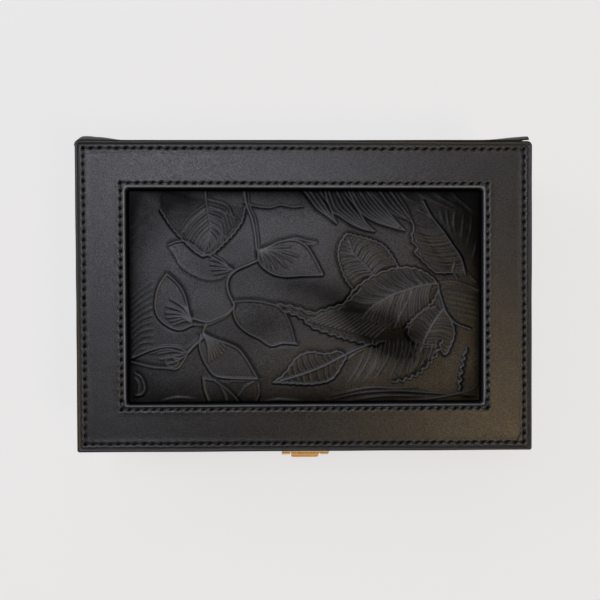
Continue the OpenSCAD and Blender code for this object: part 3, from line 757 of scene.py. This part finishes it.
# --- leaf, lower left
line(L(328, 628, 300, 654, 270, 686), 0.95, 0.42, side=1)
line(L(322, 618, 296, 642, 262, 668), 0.5, 0.3)
a = line(L(270, 686, 232, 665, 182, 661, 122, 674, 45, 706), 0.9, side=1)
b = line(L(270, 688, 250, 722, 226, 750, 182, 747, 122, 742, 45, 722), 0.8, side=-1)
fill(a, b[::-1])
for e in (L(262, 686, 210, 680, 150, 690), L(262, 690, 215, 700, 160, 712), L(258, 700, 222, 722, 180, 732), L(240, 712, 205, 706, 176, 716), L(250, 686, 190, 672, 120, 688)):
    line(e, 0.8, 0.26, taper=1)
line(L(214, 712, 232, 726, 214, 744, 188, 738, 180, 722), 0.6, 0.28)
# --- small leaf at the left edge, and the frond strokes above it
line(L(60, 768, 84, 786, 96, 826, 84, 852, 62, 856), 0.8, side=1)
line(L(60, 790, 72, 812, 70, 846), 0.5)
for k in range(11):
    y0 = 440 + 24 * k
    line(L(44, y0 + 22, 84, y0 - 8, 128, y0 - 40 + 3 * k), 0.42, 0.3, taper=1)
for k in range(4):
    line(L(44, 190 + 44 * k, 82, 152 + 44 * k, 122, 118 + 44 * k), 0.28, 0.34, taper=1)
# --- leaf cut off by the bottom edge
line(L(330, 788, 335, 832, 352, 884), 0.8, side=-1)
line(L(330, 788, 382, 802, 412, 846, 424, 884), 0.55)
line(L(378, 796, 422, 832, 452, 860, 470, 884), 0.7, side=1)
line(L(540, 800, 500, 822, 468, 860), 0.6)
line(L(548, 806, 552, 850, 540, 884), 0.6, side=1)
line(L(440, 800, 486, 800, 530, 800), 0.5)
fill(cat(L(330, 788, 440, 800, 545, 800)), cat(L(545, 884, 352, 884)), amp=0.7)
# --- serrated leaf, bottom centre
up = L(610, 806, 652, 775, 682, 735, 712, 701, 762, 684, 820, 692, 872, 682, 902, 704)
dn = L(610, 806, 682, 810, 762, 813, 830, 801, 862, 775, 886, 735, 902, 708)
md = L(640, 800, 720, 776, 802, 745, 880, 706, 936, 678, 992, 655)
a = line(up, 1, side=1, wave=0.35, wl=3.2, seed=12, saw=True)
b = line(dn, 1, side=-1, wave=0.3, wl=3.6, seed=14, saw=True)
fill(a, b[::-1], leaf_painted_shade=0.12)
line(md, 0.95, 0.38)
between(md, up, 9, bend=0.10, amp=0.85, ends=(0.06, 0.72), shift=0.16, seed=15)
between(md, dn, 8, bend=-0.10, amp=0.8, ends=(0.06, 0.68), shift=0.14, seed=16)
line(L(906, 716, 946, 688, 988, 668), 0.6)
# --- heart-shaped leaf
rt = L(905, 210, 952, 222, 1002, 236, 1052, 260, 1087, 302, 1112, 348)
lt = L(905, 210, 880, 246, 870, 292, 880, 342, 900, 392, 927, 428)
md = L(913, 238, 932, 290, 974, 332, 1018, 382)
a = line(rt, 1, side=1, wave=0.4, wl=2.4, seed=21, saw=True)
b = line(lt, 1, side=-1, wave=0.35, wl=2.4, seed=22, saw=True)
fill(a, L(1112, 348, 1020, 380), b[::-1], leaf_painted_shade=0.22)
line(md, 0.9, 0.36)
between(md, rt, 15, bend=0.12, amp=0.9, ends=(0.08, 0.96), seed=23)
between(md, lt, 12, bend=-0.10, amp=0.85, ends=(0.10, 0.96), seed=24)
# --- big serrated leaf
up = L(905, 474, 940, 430, 1002, 385, 1062, 360, 1122, 347, 1182, 352, 1232, 376, 1270, 411)
md = L(1010, 500, 1082, 460, 1165, 430, 1222, 416, 1270, 411)
lowr = L(960, 560, 1040, 610, 1112, 596, 1180, 560, 1232, 500, 1270, 440)
a = line(up, 1, side=1, wave=0.22, wl=3.6, seed=31)
fill(a, cat(lowr)[::-1], leaf_painted_shade=0.13)
line(md, 0.95, 0.4)
between(md, up, 16, bend=0.07, amp=0.85, ends=(0.02, 0.90), shift=-0.12, seed=33)
between(md, lowr, 26, bend=-0.06, amp=0.9, ends=(0.0, 0.93), shift=-0.08, reach=(0.03, 0.98), seed=34)
line(L(1168, 430, 1150, 478, 1118, 540, 1096, 590), 0.85, 0.32)
line(L(1270, 411, 1280, 462, 1302, 522, 1340, 570, 1402, 596), 0.95, side=1)
line(L(1272, 440, 1250, 486, 1210, 520, 1168, 556, 1140, 590), 0.9, side=-1, wave=0.3, wl=3, seed=35)
line(L(1270, 411, 1330, 402, 1390, 420, 1440, 440), 0.5, 0.32)
for k in range(5):
    line(L(1285 + 8 * k, 436 + 22 * k, 1345, 446 + 20 * k, 1440, 470 + 20 * k), 0.26, 0.36, taper=1)
# --- leaf under it, right
rt = L(1290, 514, 1322, 560, 1336, 612, 1322, 660, 1302, 697, 1284, 682)
lt = L(1262, 502, 1212, 520, 1172, 556, 1150, 610, 1180, 650)
md = L(1286, 520, 1246, 580, 1216, 640, 1198, 690)
a = line(rt, 0.95, side=1, wave=0.3, wl=2.8, seed=41, saw=True)
b = line(lt, 0.8, side=-1, wave=0.3, wl=2.8, seed=42, saw=True)
fill(a, L(1284, 682, 1200, 690), b[::-1], leaf_painted_shade=0.10)
line(md, 0.9, 0.36)
between(md, rt, 13, bend=0.10, amp=0.85, ends=(0.04, 0.9), seed=43)
between(md, lt, 12, bend=-0.08, amp=0.85, ends=(0.04, 0.9), seed=44)
# --- feathered strokes below the big leaf
for k, (x0, y0, x1, y1) in enumerate(((985, 658, 896, 828), (1002, 668, 925, 824), (1040, 655, 960, 822), (1056, 690, 1010, 808), (1022, 700, 985, 800),
                                      (1075, 660, 1040, 760), (1096, 690, 1072, 800), (1130, 670, 1108, 800), (1160, 650, 1150, 790), (1190, 680, 1168, 770),
                                      (1232, 640, 1226, 730), (1250, 650, 1240, 720))):
    line(L(x0, y0, (x0 + x1) / 2 + 14, (y0 + y1) / 2 - 6, x1, y1), 0.75, 0.3, taper=2)
for k in range(16):
    x0, y0 = 1010 + 17 * k, 640 + 6 * (k % 3)
    line(L(x0, y0, x0 - 10, y0 + 54, x0 - 38, y0 + 118), 0.7, 0.25, taper=1)
line(L(1290, 640, 1262, 700, 1226, 742, 1190, 776, 1130, 800, 1090, 806), 0.9, side=-1, wave=0.6, wl=3.2, seed=51)
line(L(1182, 640, 1186, 700, 1172, 760), 0.7, wave=0.3, wl=4, seed=52)
# --- wavy edges in the middle
line(L(628, 492, 682, 500, 722, 512, 772, 526, 832, 510, 892, 490, 932, 462, 962, 430), 0.9, side=1, wave=0.3, wl=5, seed=61)
line(L(640, 500, 700, 510, 780, 538, 846, 522, 900, 502), 0.5, wave=0.3, wl=5, seed=62)
line(L(655, 520, 722, 546, 762, 582, 822, 606, 882, 626, 942, 642, 1002, 656, 1052, 642), 0.95, side=-1, wave=0.75, wl=3.4, seed=63, saw=True)
for k in range(16):
    x0 = 745 + 18 * k
    line(L(x0, 560 + 4.6 * k, x0 + 40, 548 + 3 * k, x0 + 92, 520 + 2 * k), 0.7, 0.26, taper=1)
fill(cat(L(628, 492, 772, 526, 892, 490, 962, 430)), cat(L(1010, 500, 1052, 642, 882, 626, 762, 582, 655, 520)), amp=0.6)
# --- fronds hanging from the top edge
def fan(lc, rc, n, amp=0.7, cut=0.9):
    """Fine strokes that run from between two edges to their common tip."""
    A, B = cat(lc), cat(rc)
    A, B = A[np.linspace(0, len(A) - 1, 9).astype(int)], B[np.linspace(0, len(B) - 1, 9).astype(int)]
    for k in range(n):
        t = (k + 1) / (n + 1)
        line(((1 - t) * A + t * B)[:int(round(9 * cut))], amp, 0.29, taper=2 if k % 2 else False)


FR = ((L(735, 40, 748, 55, 786, 107, 824, 138, 866, 170), L(800, 40, 805, 49, 837, 100, 851, 138, 866, 170), 2),
      (L(818, 40, 844, 116, 875, 138, 926, 173, 971, 193, 1016, 202), L(896, 40, 952, 119, 984, 170, 1018, 202), 4),
      (L(912, 40, 958, 119, 1016, 161, 1080, 184, 1140, 199), L(1000, 40, 1067, 119, 1105, 164, 1140, 199), 5),
      (L(1016, 40, 1058, 100, 1100, 136, 1160, 162), L(1100, 40, 1130, 84, 1152, 120, 1166, 160), 3))
for k, (lc, rc, n) in enumerate(FR):
    a = line(lc, 0.95 if k < 3 else 0.5, side=-1)
    b = line(rc, 0.9 if k < 3 else 0.5, 0.28)
    fan(lc, rc, n, 0.95)
    fill(a, b[::-1], amp=0.8, leaf_painted_shade=0.24)
for e in (L(1245, 40, 1296, 75, 1367, 113), L(1322, 40, 1360, 81, 1418, 122), L(1180, 40, 1230, 74, 1290, 90), L(1376, 98, 1396, 112, 1411, 132),
          L(1120, 40, 1150, 70, 1192, 86), L(1206, 46, 1262, 84, 1340, 118)):
    line(e, 0.45, 0.28, taper=2)
# --- large leaf, top right
md = L(1212, 84, 1245, 145, 1290, 202, 1328, 258, 1358, 302, 1370, 334, 1380, 376)
lt = L(1166, 164, 1174, 191, 1166, 216, 1172, 248, 1191, 269, 1176, 286, 1194, 304, 1226, 336, 1252, 360, 1277, 368, 1328, 366)
line(md, 0.85, 0.36, side=1)
a = line(lt, 0.9, side=-1, wave=0.15, wl=3.4, seed=71)
fill(a, L(1380, 376, 1440, 440, 1440, 40, 1190, 40), amp=0.8, leaf_painted_shade=0.14)
between(md, lt, 17, bend=0.07, amp=0.62, sigma=0.25, ends=(0.36, 1.0), shift=-0.34, reach=(0.02, 0.98), seed=72)
line(L(1194, 118, 1222, 134, 1240, 150), 0.6, 0.27)
for e in (L(1306, 112, 1312, 170, 1330, 228), L(1341, 112, 1335, 170, 1346, 226), L(1405, 140, 1402, 196, 1385, 268), L(1374, 130, 1370, 180, 1364, 240),
          L(1427, 230, 1418, 282, 1402, 326), L(1280, 120, 1288, 150, 1306, 184)):
    line(e, 0.36, 0.3, taper=2)
line(L(1338, 330, 1330, 362, 1348, 392), 0.8)
line(L(1372, 340, 1392, 372, 1424, 404), 0.35)
# --- right edge and bottom edge
line(L(1386, 672, 1372, 724, 1362, 782, 1356, 842), 0.85, side=1, wave=0.6, wl=3.4, seed=81)
for k, p in enumerate((L(820, 882, 952, 852, 1102, 842, 1252, 852, 1420, 862), L(842, 862, 992, 830, 1102, 832, 1200, 826), L(905, 884, 1060, 862, 1250, 866),
                       L(1100, 884, 1250, 874, 1400, 842, 1440, 800), L(150, 884, 222, 866, 300, 872), L(560, 884, 640, 876, 730, 884))):
    line(p, 0.6, 0.34, side=-1 if k < 2 else 0, taper=2)


def blur(a, s):
    for axis, st in ((0, sx), (1, sy)):
        r = int(np.ceil(3 * s / st))
        k = np.exp(-0.5 * (np.arange(-r, r + 1) * st / s) ** 2)
        k /= k.sum()
        p = np.pad(a, [(r, r) if i == axis else (0, 0) for i in (0, 1)], mode="edge")
        a = sum(k[j] * np.take(p, np.arange(j, j + a.shape[axis]), axis) for j in range(2 * r + 1))
    return a


edge = np.minimum(PAN_W / 2 - np.abs(GX), PAN_D / 2 - np.abs(GY))
cr = np.hypot(np.maximum(np.abs(GX) - (PAN_W / 2 - 1.4), 0), np.maximum(np.abs(GY) - (PAN_D / 2 - 1.4), 0))
edge = np.minimum(edge, 1.4 - cr)
edge = np.maximum(edge, 0)
wide = 0.9 + 1.0 * np.clip((GX - 60) / 18, 0, 1) + 0.5 * np.clip((-GX - 62) / 15, 0, 1) - 0.6 * np.clip((GY - 30) / 17, 0, 1)
bx_ = 1 - np.exp(-np.clip(PAN_W / 2 - np.abs(GX), 0, None) / 8.5)
rise_x = 1 - np.exp(-np.clip(PAN_W / 2 - np.abs(GX), 0, None) / np.where(GX > 0, 2.2, 8.5))
rise_y = 1 - np.exp(-np.clip(PAN_D / 2 - np.abs(GY), 0, None) / np.where(GY > 0, 2.0, 6.0))
by_ = 1 - np.exp(-np.clip(PAN_D / 2 - np.abs(GY), 0, None) / 7.5)
crown = 6.1 * (1 - np.exp(-edge / 0.07)) + 1.1 * rise_x * rise_y + 0.45 * (1 - (GX / 78) ** 2) * (1 - (GY / 47) ** 2)
soft = 0.20 * noise2(GX, GY, 30, 11, 2) + 0.03 * noise2(GX, GY, 4.5, 13, 2)
deboss = blur(PILLOW, 0.45)
fadeout = np.clip(edge / 1.5, 0, 1)
PZ = RECESS_Z + 0.05 + crown + fadeout * (soft + 0.22 * deboss + 0.60 * RIDGE - 0.18 * GROOVE * (1 - RIDGE))
PY = GY + np.clip((GY - 38) / 8.75, 0, 1) ** 2 * (0.28 - 0.20 * np.clip(GX / 80, -1, 1))
top_v = np.column_stack([GX.ravel(), PY.ravel(), PZ.ravel()])
nxg, nyg = GX.shape
I, J = np.meshgrid(np.arange(nxg - 1), np.arange(nyg - 1), indexing="ij")
pf = np.stack([I * nyg + J, (I + 1) * nyg + J, (I + 1) * nyg + J + 1, I * nyg + J + 1], -1).reshape(-1, 4)
panel = make("embossed_leaf_panel", top_v, pf, M_PANEL, body="lid")
def patch(px, py, a, b, deg):
    c, w = math.cos(math.radians(deg)), math.sin(math.radians(deg))
    u, v = (GX - px) * c + (GY - py) * w, -(GX - px) * w + (GY - py) * c
    return np.exp(-(u / a) ** 2 - (v / b) ** 2)


# painted shade: darker and less glossy towards the frame, which shades the panel's edges, in soft patches of painted
# dark reflection (lighter where a patch is negative), and over each leaf; less on the raised lines
painted_shade_map = 0.62 * (1 - bx_ * by_) ** 1.1 + 1.1 * patch(31, -14.5, 20, 8.5, -33) + 0.55 * np.exp(-(77.7 + GX) / 2.6) + 0.22 * np.exp(-(77.7 - GX) / 13) + 0.08 + 0.20 * patch(-62, 40, 20, 14, 0) + 0.32 * patch(-18, -12, 12, 8, 20) + 0.16 * patch(-40, 10, 12, 9, 0) + 0.14 * patch(18, -6, 9, 7, 0) + 0.50 * patch(0, 4.5, 19, 5.5, -14)
painted_shade_map = painted_shade_map + 0.30 * patch(20, 42, 50, 9, 0) - 0.05 * patch(-42, 12, 12, 10, 0) - 0.20 * patch(-10, -24, 12, 7, 0) - 0.18 * patch(-10, 30, 20, 9, 0) - 0.15 * patch(-40, 0, 9, 9, 0)
# a soft patch of painted dark reflection, where the painted highlight on the ridges is weakened too
blob = np.clip(patch(31, -14.5, 20, 8.5, -33) + 0.8 * patch(40, -19, 12, 8, -40), 0, 1)
painted_shade_map = painted_shade_map + blur(LEAF_PAINTED_SHADE, 0.6) + 0.35 * patch(40, -19, 12, 8, -40) + 0.30 * patch(67, 30, 13, 17, 0) + 0.16 * np.exp(-(46.8 + GY) / 5) + 0.10 * np.exp(-(46.8 - GY) / 6) + 0.04 * np.exp(-(77.7 - GX) / 9) - 0.16 * patch(-9, -25, 12, 7, 0) - 0.13 * patch(65, -23, 9, 11, 0) - 0.11 * patch(6, 35, 14, 7, 0)
painted_shade_map = np.clip(painted_shade_map + 0.16 * noise2(GX, GY, 18, 91, 2) + 0.09 * noise2(GX, GY, 3.2, 93, 3), 0, 0.9) * (1 - 0.45 * np.clip(RIDGE, 0, 1))
# ridge: painted highlight on the raised lines; hollow: painted shade in the grooves, at the panel's edge by the frame,
# and from the map above
for nm, val in (("ridge_painted_highlight", np.clip(RIDGE * fadeout * 1.25 - 0.20, 0, 1) ** 1.3 * (1 - 0.78 * blob)), ("panel_painted_shade", np.clip(0.55 * GROOVE * (1 - RIDGE) + 0.8 * (1 - np.clip(edge / 0.5, 0, 1)) * (1 - 0.75 * np.clip((GY - 44) / 2, 0, 1)) + painted_shade_map, 0, 1))):
    att = panel.data.attributes.new(nm, "FLOAT", "POINT")
    att.data.foreach_set("value", val.ravel().astype(np.float32))
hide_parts("embossed_panel", "panel_foam", "panel_board")

# ------------------------------------------------------------------ outer hinge strip, one piece
HZ = np.concatenate([np.linspace(28, 46, 8), np.linspace(47, 53.5, 16), np.linspace(54.2, 61.3, 12)])
HX = np.concatenate([np.linspace(-100.25, -96.5, 14), np.linspace(-96, -70, 40), np.linspace(-69, 62, 70), np.linspace(63, 98.4, 57)])


def ease(t):
    t = np.clip(t, 0, 1)
    return t * t * (3 - 2 * t)


def flare(xx, zz):
    u = np.clip((61.4 - zz) / 15.4, 0, 1)
    up = np.sin(np.pi * u ** 0.78) ** 0.9
    l = (2.3 * ease((-74.5 - xx) / 17) + 0.4 * ease((-91 - xx) / 4)) * (1 - 0.75 * ease((-96.6 - xx) / 3.2) ** 2)
    r = 2.5 * ease((xx - 70) / 30)
    curl = 0.35 * ease((xx - 93.5) / 4.0) * ease((zz - 56.5) / 4.0)
    return up * (l + r) + curl


Xh, Zh = np.meshgrid(HX, HZ, indexing="ij")
wv = 0.07 * noise2(Xh, Zh, 16, 23, 2)
turn = 2.0 * (1 - np.sqrt(1 - np.clip((-98.2 - Xh) / 2.05, 0, 1) ** 2))     # turned in with the box's corner
out = 68.42 + flare(Xh, Zh) + wv - turn
left_short = ease((-97.2 - Xh) / 2.2)
Zo = Zh + np.where(Zh > 60, 0.15 * noise2(Xh, Zh, 12, 29, 2), 0)
thick = 0.62
inner = np.maximum(out - thick, 68.03 - turn)
n1, n2 = Xh.shape
vo = np.column_stack([Xh.ravel(), out.ravel(), Zo.ravel()])
vi = np.column_stack([Xh.ravel(), inner.ravel(), Zo.ravel()])
g = quads(n1, n2, False)
N = n1 * n2
fs = [list(q) for q in g] + [[q + N for q in r[::-1]] for r in g]
idx = np.arange(N).reshape(n1, n2)
border = list(idx[:, 0]) + list(idx[-1, 1:]) + list(idx[-2::-1, -1]) + list(idx[0, -2:0:-1])
for k in range(len(border)):
    p, q = border[k], border[(k + 1) % len(border)]
    fs.append([p, p + N, q + N, q])
strip = make("hinge_strip", np.concatenate([vo, vi]), fs, M_STRIP)
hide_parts("hinge_strip_lower", "hinge_strip_upper")
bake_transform(strip)

# ------------------------------------------------------------------ inner fabric hinge
HZ = np.concatenate([np.linspace(36, 46.6, 8), np.linspace(47.0, 50.2, 12)])
HX = np.linspace(-87, 87, 60)
Xh, Zh = np.meshgrid(HX, HZ, indexing="ij")
yo = 61.42 - 0.40 * ease((Zh - 46.8) / 3.0) + 0.02 * noise2(Xh, Zh, 9, 31, 1)
n1, n2 = Xh.shape
N = n1 * n2
vo = np.column_stack([Xh.ravel(), yo.ravel(), Zh.ravel()])
vi = np.column_stack([Xh.ravel(), (yo - 0.22).ravel(), Zh.ravel()])
g = quads(n1, n2, False)
idx = np.arange(N).reshape(n1, n2)
fs = [list(q) for q in g] + [[q + N for q in r[::-1]] for r in g]
border = list(idx[:, 0]) + list(idx[-1, 1:]) + list(idx[-2::-1, -1]) + list(idx[0, -2:0:-1])
for k in range(len(border)):
    p, q = border[k], border[(k + 1) % len(border)]
    fs.append([p, p + N, q + N, q])
ih = make("inner_hinge_fabric", np.concatenate([vo, vi]), fs, M_VELVET)
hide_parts("inner_hinge_strip")
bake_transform(ih)

# ------------------------------------------------------------------ ring rolls
lo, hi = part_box("ring_rolls")
N_ROLL = 6
span = (hi.x - lo.x) / MM
pitch = (span - 13.0) / (N_ROLL - 1)
x0 = lo.x / MM + 6.5
y0, y1, zb = lo.y / MM, hi.y / MM, lo.z / MM
for k in range(N_ROLL):
    L_ = 96
    ys = y0 + (y1 - y0) * (0.5 - 0.5 * np.cos(np.linspace(0, np.pi, L_)))
    A = np.linspace(0, 2 * np.pi, 44, endpoint=False)
    Yr, Ar = np.meshgrid(ys, A, indexing="ij")
    end = np.clip(np.minimum(Yr - y0, y1 - Yr) / 4.5, 0, 1)
    rad = np.sqrt(np.clip(1 - (1 - end) ** 2.4, 0, 1)) * 0.97 + 0.03
    ca, sa = np.cos(Ar), np.sin(Ar)
    px = np.sign(ca) * np.abs(ca) ** 0.80 * 6.5
    pz = np.sign(sa) * np.abs(sa) ** 0.86 * 6.4
    pz = np.where(pz < 0, pz * 0.99, pz * (1 + 0.03 * noise2(Yr, Ar * 0 + 9 * k, 17, 40 + k, 2)))
    wr = 0.10 * noise2(Yr, Ar * 2.0 + 20 * k, 5, 60 + k, 2)
    v = np.stack([x0 + k * pitch + (px - np.sign(px) * 0.0) * rad * (1 + 0.0 * wr), Yr, zb + 6.4 + (pz + wr * (sa > 0)) * rad], -1).reshape(-1, 3)
    fs = [list(q) for q in quads(L_, 44)]
    fs.append(list(range(44))[::-1])
    fs.append(list(range((L_ - 1) * 44, L_ * 44)))
    ob = make(f"ring_roll_{k + 1}", v, fs, M_ROLL, body="base")
    if k == 0:
        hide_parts("ring_rolls")

# ------------------------------------------------------------------ padded board inside the lid
lo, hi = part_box("lid_inner_pad")
px, py = (hi.x - lo.x) / 2 / MM, (hi.y - lo.y) / 2 / MM
zt, zb = hi.z / MM, lo.z / MM
mw, md_ = 146.0, 86.0
t_out = [(0.05, zt), (0.0, zt - 0.6), (0.0, zb + 1.5), (0.12, zb + 0.8), (0.5, zb + 0.3), (1.2, zb + 0.06)]
rows = []
for inset, z_ in t_out:
    rows.append((px - inset, py - inset, 3.0 - min(inset, 1.5), z_))
for t in np.linspace(0.12, 0.9, 9):
    rows.append((px - 1.2 + (mw / 2 + 0.9 - px + 1.2) * t, py - 1.2 + (md_ / 2 + 0.9 - py + 1.2) * t, 2.5 - 1.5 * t, zb - 0.0 + 0.10 * abs(2 * t - 1) ** 3))
rows += [(mw / 2 + 0.55, md_ / 2 + 0.55, 0.9, zb + 0.12), (mw / 2 + 0.15, md_ / 2 + 0.15, 0.7, zb + 0.45), (mw / 2 + 0.02, md_ / 2 + 0.02, 0.6, zb + 1.0),
         (mw / 2, md_ / 2, 0.6, zb + 1.95), (mw / 2 - 12, md_ / 2 - 12, 0.6, zb + 2.0)]
vs = []
for hx_, hy_, r_, z_ in rows:
    p = rr_loop(hx_, hy_, r_, 90, 60, 10)
    q = z_ + (0.05 * noise2(p[:, 0], p[:, 1], 14, 77, 2) if zb < z_ < zb + 0.2 else 0)
    vs.append(np.column_stack([p, np.broadcast_to(q, len(p))]))
cols = len(vs[0])
ob = make("lid_pad", np.concatenate(vs), quads(len(rows), cols)[:, ::-1].copy(), M_VELVET, body="lid")
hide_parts("lid_inner_pad")


# ------------------------------------------------------------------ CAD nodes: materials and softened edges
def dress(node, mat, width, segs=3, angle=35):
    ob = NODES[node]
    ob.data.materials.clear()
    ob.data.materials.append(mat)
    if width:
        b = ob.modifiers.new("edge", "BEVEL")
        b.width = width * MM
        b.segments = segs
        b.limit_method = "ANGLE"
        b.angle_limit = math.radians(angle)
        b.harden_normals = False
        w = ob.modifiers.new("shade", "WEIGHTED_NORMAL")
        w.keep_sharp = False
    for p in ob.data.polygons:
        p.use_smooth = True
    return ob


for n in ("bottom_board", "front_wall_board", "back_wall_board", "left_wall_board", "right_wall_board", "lid_back_board",
          "frame_rail_front", "frame_rail_back", "frame_rail_left", "frame_rail_right"):
    dress(n, M_BOARD, 0)
for n in ("border_foam",):
    dress(n, M_FOAM, 0)
dress("underside_sheet", M_UNDER, 0.2)
for n in ("wall_lining", "floor_lining"):
    dress(n, M_VELVET, 0.3)
dress("ring_bed", M_VELVET, 0.6)
for n in ("main_divider", "long_divider", "short_divider"):
    dress(n, M_VELVET, 0.9, 4)
dress("mirror", M_MIRROR, 0.5, 2)
for n in ("catch_plate", "catch_nails", "hasp_nails", "hasp_plate", "hasp_pin"):
    dress(n, M_BRASS, 0.12, 2, 40)
dress("hasp_flap", M_BRASS_FLAP, 0.16, 3, 40)

# ------------------------------------------------------------------ stage
fl, _nt, _bs = new_mat("pale_floor")
_co = coords(_nt)
_nt.links.new(ramp(_nt, tex_noise(_nt, _co, 1.2, 2, 0.5), [(0.3, (0.33, 0.33, 0.335)), (0.7, (0.34, 0.34, 0.345))]), _bs.inputs["Base Color"])
_bs.inputs["Roughness"].default_value = 0.9
_bs.inputs["Specular IOR Level"].default_value = 0.2
_bs.inputs["Emission Color"].default_value = (1.0, 0.995, 0.99, 1)
_bs.inputs["Emission Strength"].default_value = 0.675
floor = make("floor", [(-6000, -6000, 0), (6000, -6000, 0), (6000, 6000, 0), (-6000, 6000, 0)], [[0, 1, 2, 3]], fl, smooth=False)

# a pale backdrop far behind, for low angles; it gives no light
back_m = plain("backdrop", (0.02, 0.02, 0.02), (0.022, 0.022, 0.022), 3, 1.0, 0.0001, 40)
_b = back_m.node_tree.nodes["Principled BSDF"]
_b.inputs["Emission Color"].default_value = (1, 1, 1, 1)
_b.inputs["Emission Strength"].default_value = 0.80
ea = np.linspace(0, 2 * np.pi, 64, endpoint=False)
el = np.linspace(-0.02, np.pi / 2 - 0.03, 14)
dome = np.concatenate([np.column_stack([3900 * np.cos(ea) * np.cos(e), 3900 * np.sin(ea) * np.cos(e), np.full(64, 3900 * np.sin(e))]) for e in el])
df = [list(q) for q in quads(14, 64)] + [list(range(13 * 64, 14 * 64))]
backdrop = make("backdrop", dome, df, back_m, smooth=False)
for flag in ("visible_diffuse", "visible_glossy", "visible_shadow", "visible_transmission"):
    setattr(backdrop, flag, False)

world = bpy.data.worlds.new("studio")
bpy.context.scene.world = world
world.use_nodes = True
bg = world.node_tree.nodes["Background"]
bg.inputs["Color"].default_value = (0.93, 0.96, 1.0, 1)
bg.inputs["Strength"].default_value = 0.085


def area(name, loc, target, size, power, color, size_y=None):
    d_ = bpy.data.lights.new(name, "AREA")
    d_.energy = power
    d_.color = color
    d_.shape = "RECTANGLE"
    d_.size = size
    d_.size_y = size_y or size
    ob = bpy.data.objects.new(name, d_)
    bpy.context.scene.collection.objects.link(ob)
    ob.location = loc
    ob.rotation_mode = "QUATERNION"
    ob.rotation_quaternion = (Vector(target) - Vector(loc)).to_track_quat("-Z", "Y")
    ob.visible_camera = False
    return ob


area("ceiling", (-0.27, 0.38, 1.85), (-0.10, 0.14, 0.05), 0.62, 6.2, (0.86, 0.86, 1.0))
area("window_left", (-1.25, 0.70, 1.15), (0, 0, 0.05), 0.9, 4.0, (0.88, 0.93, 1.0))
area("window_back", (-0.10, 1.45, 1.10), (0, 0, 0.05), 1.0, 2.5, (0.94, 0.97, 1.0))
hasp_light = area("hasp_light", (0.0, -0.16, 0.95), (0, -0.07, 0.05), 0.30, 0.16, (1.0, 0.92, 0.80))
hasp_group = bpy.data.collections.new("brass_pieces")
for n in ("hasp_plate", "hasp_pin", "hasp_nails", "hasp_flap", "catch_plate", "catch_nails"):
    hasp_group.objects.link(NODES[n])
hasp_light.light_linking.receiver_collection = hasp_group
hasp_front = area("hasp_front", (-0.05, -0.85, 0.50), (0, -0.07, 0.05), 0.38, 0.42, (1.0, 0.95, 0.84))
hasp_front.light_linking.receiver_collection = hasp_group
area("lamp", (0.52, -0.38, 1.30), (0.10, -0.07, 0.05), 0.30, 2.30, (1.0, 0.69, 0.31))

# a dark card hung above, which the semi-gloss panel mirrors softly
card_m = plain("card", (0.004, 0.004, 0.004), (0.006, 0.006, 0.006), 3, 0.9, 0.0001, 40)
cu = np.linspace(0, 2 * np.pi, 40, endpoint=False)
ca_, cb_ = 150 * np.cos(cu), 52 * np.sin(cu)
th = math.radians(-27)
card = make("dark_card", np.column_stack([38 + ca_ * math.cos(th) - cb_ * math.sin(th), -12 + ca_ * math.sin(th) + cb_ * math.cos(th), np.full(40, 640.0)]),
            [list(range(40))], card_m, smooth=False)
card.visible_camera = False
card.visible_diffuse = False
card.visible_shadow = False

# ------------------------------------------------------------------ camera
SCALE = 0.4370                                  # size of the view: mm on the lid's top, for a view 600 units wide
DIST = 350.0
cam_d = bpy.data.cameras.new("camera")
cam = bpy.data.objects.new("camera", cam_d)
bpy.context.scene.collection.objects.link(cam)
bpy.context.scene.camera = cam
cam_d.sensor_width = 36.0
cam_d.lens = 36.0 * DIST / SCALE / 600.0
tilt, side_tilt, roll = math.radians(0.85), math.radians(-0.9), math.radians(-0.19)
look = Matrix.Rotation(roll, 4, "Z") @ Matrix.Rotation(-tilt, 4, "X") @ Matrix.Rotation(side_tilt, 4, "Y")
target = Vector((-5.1 * SCALE * MM, -3.3 * SCALE * MM, LID_TOP * MM))
cam.matrix_world = Matrix.Translation(target) @ look @ Matrix.Translation((0, 0, DIST * MM))
cam_d.clip_start, cam_d.clip_end = 0.01, 50
bpy.context.scene.view_settings.view_transform = "Standard"
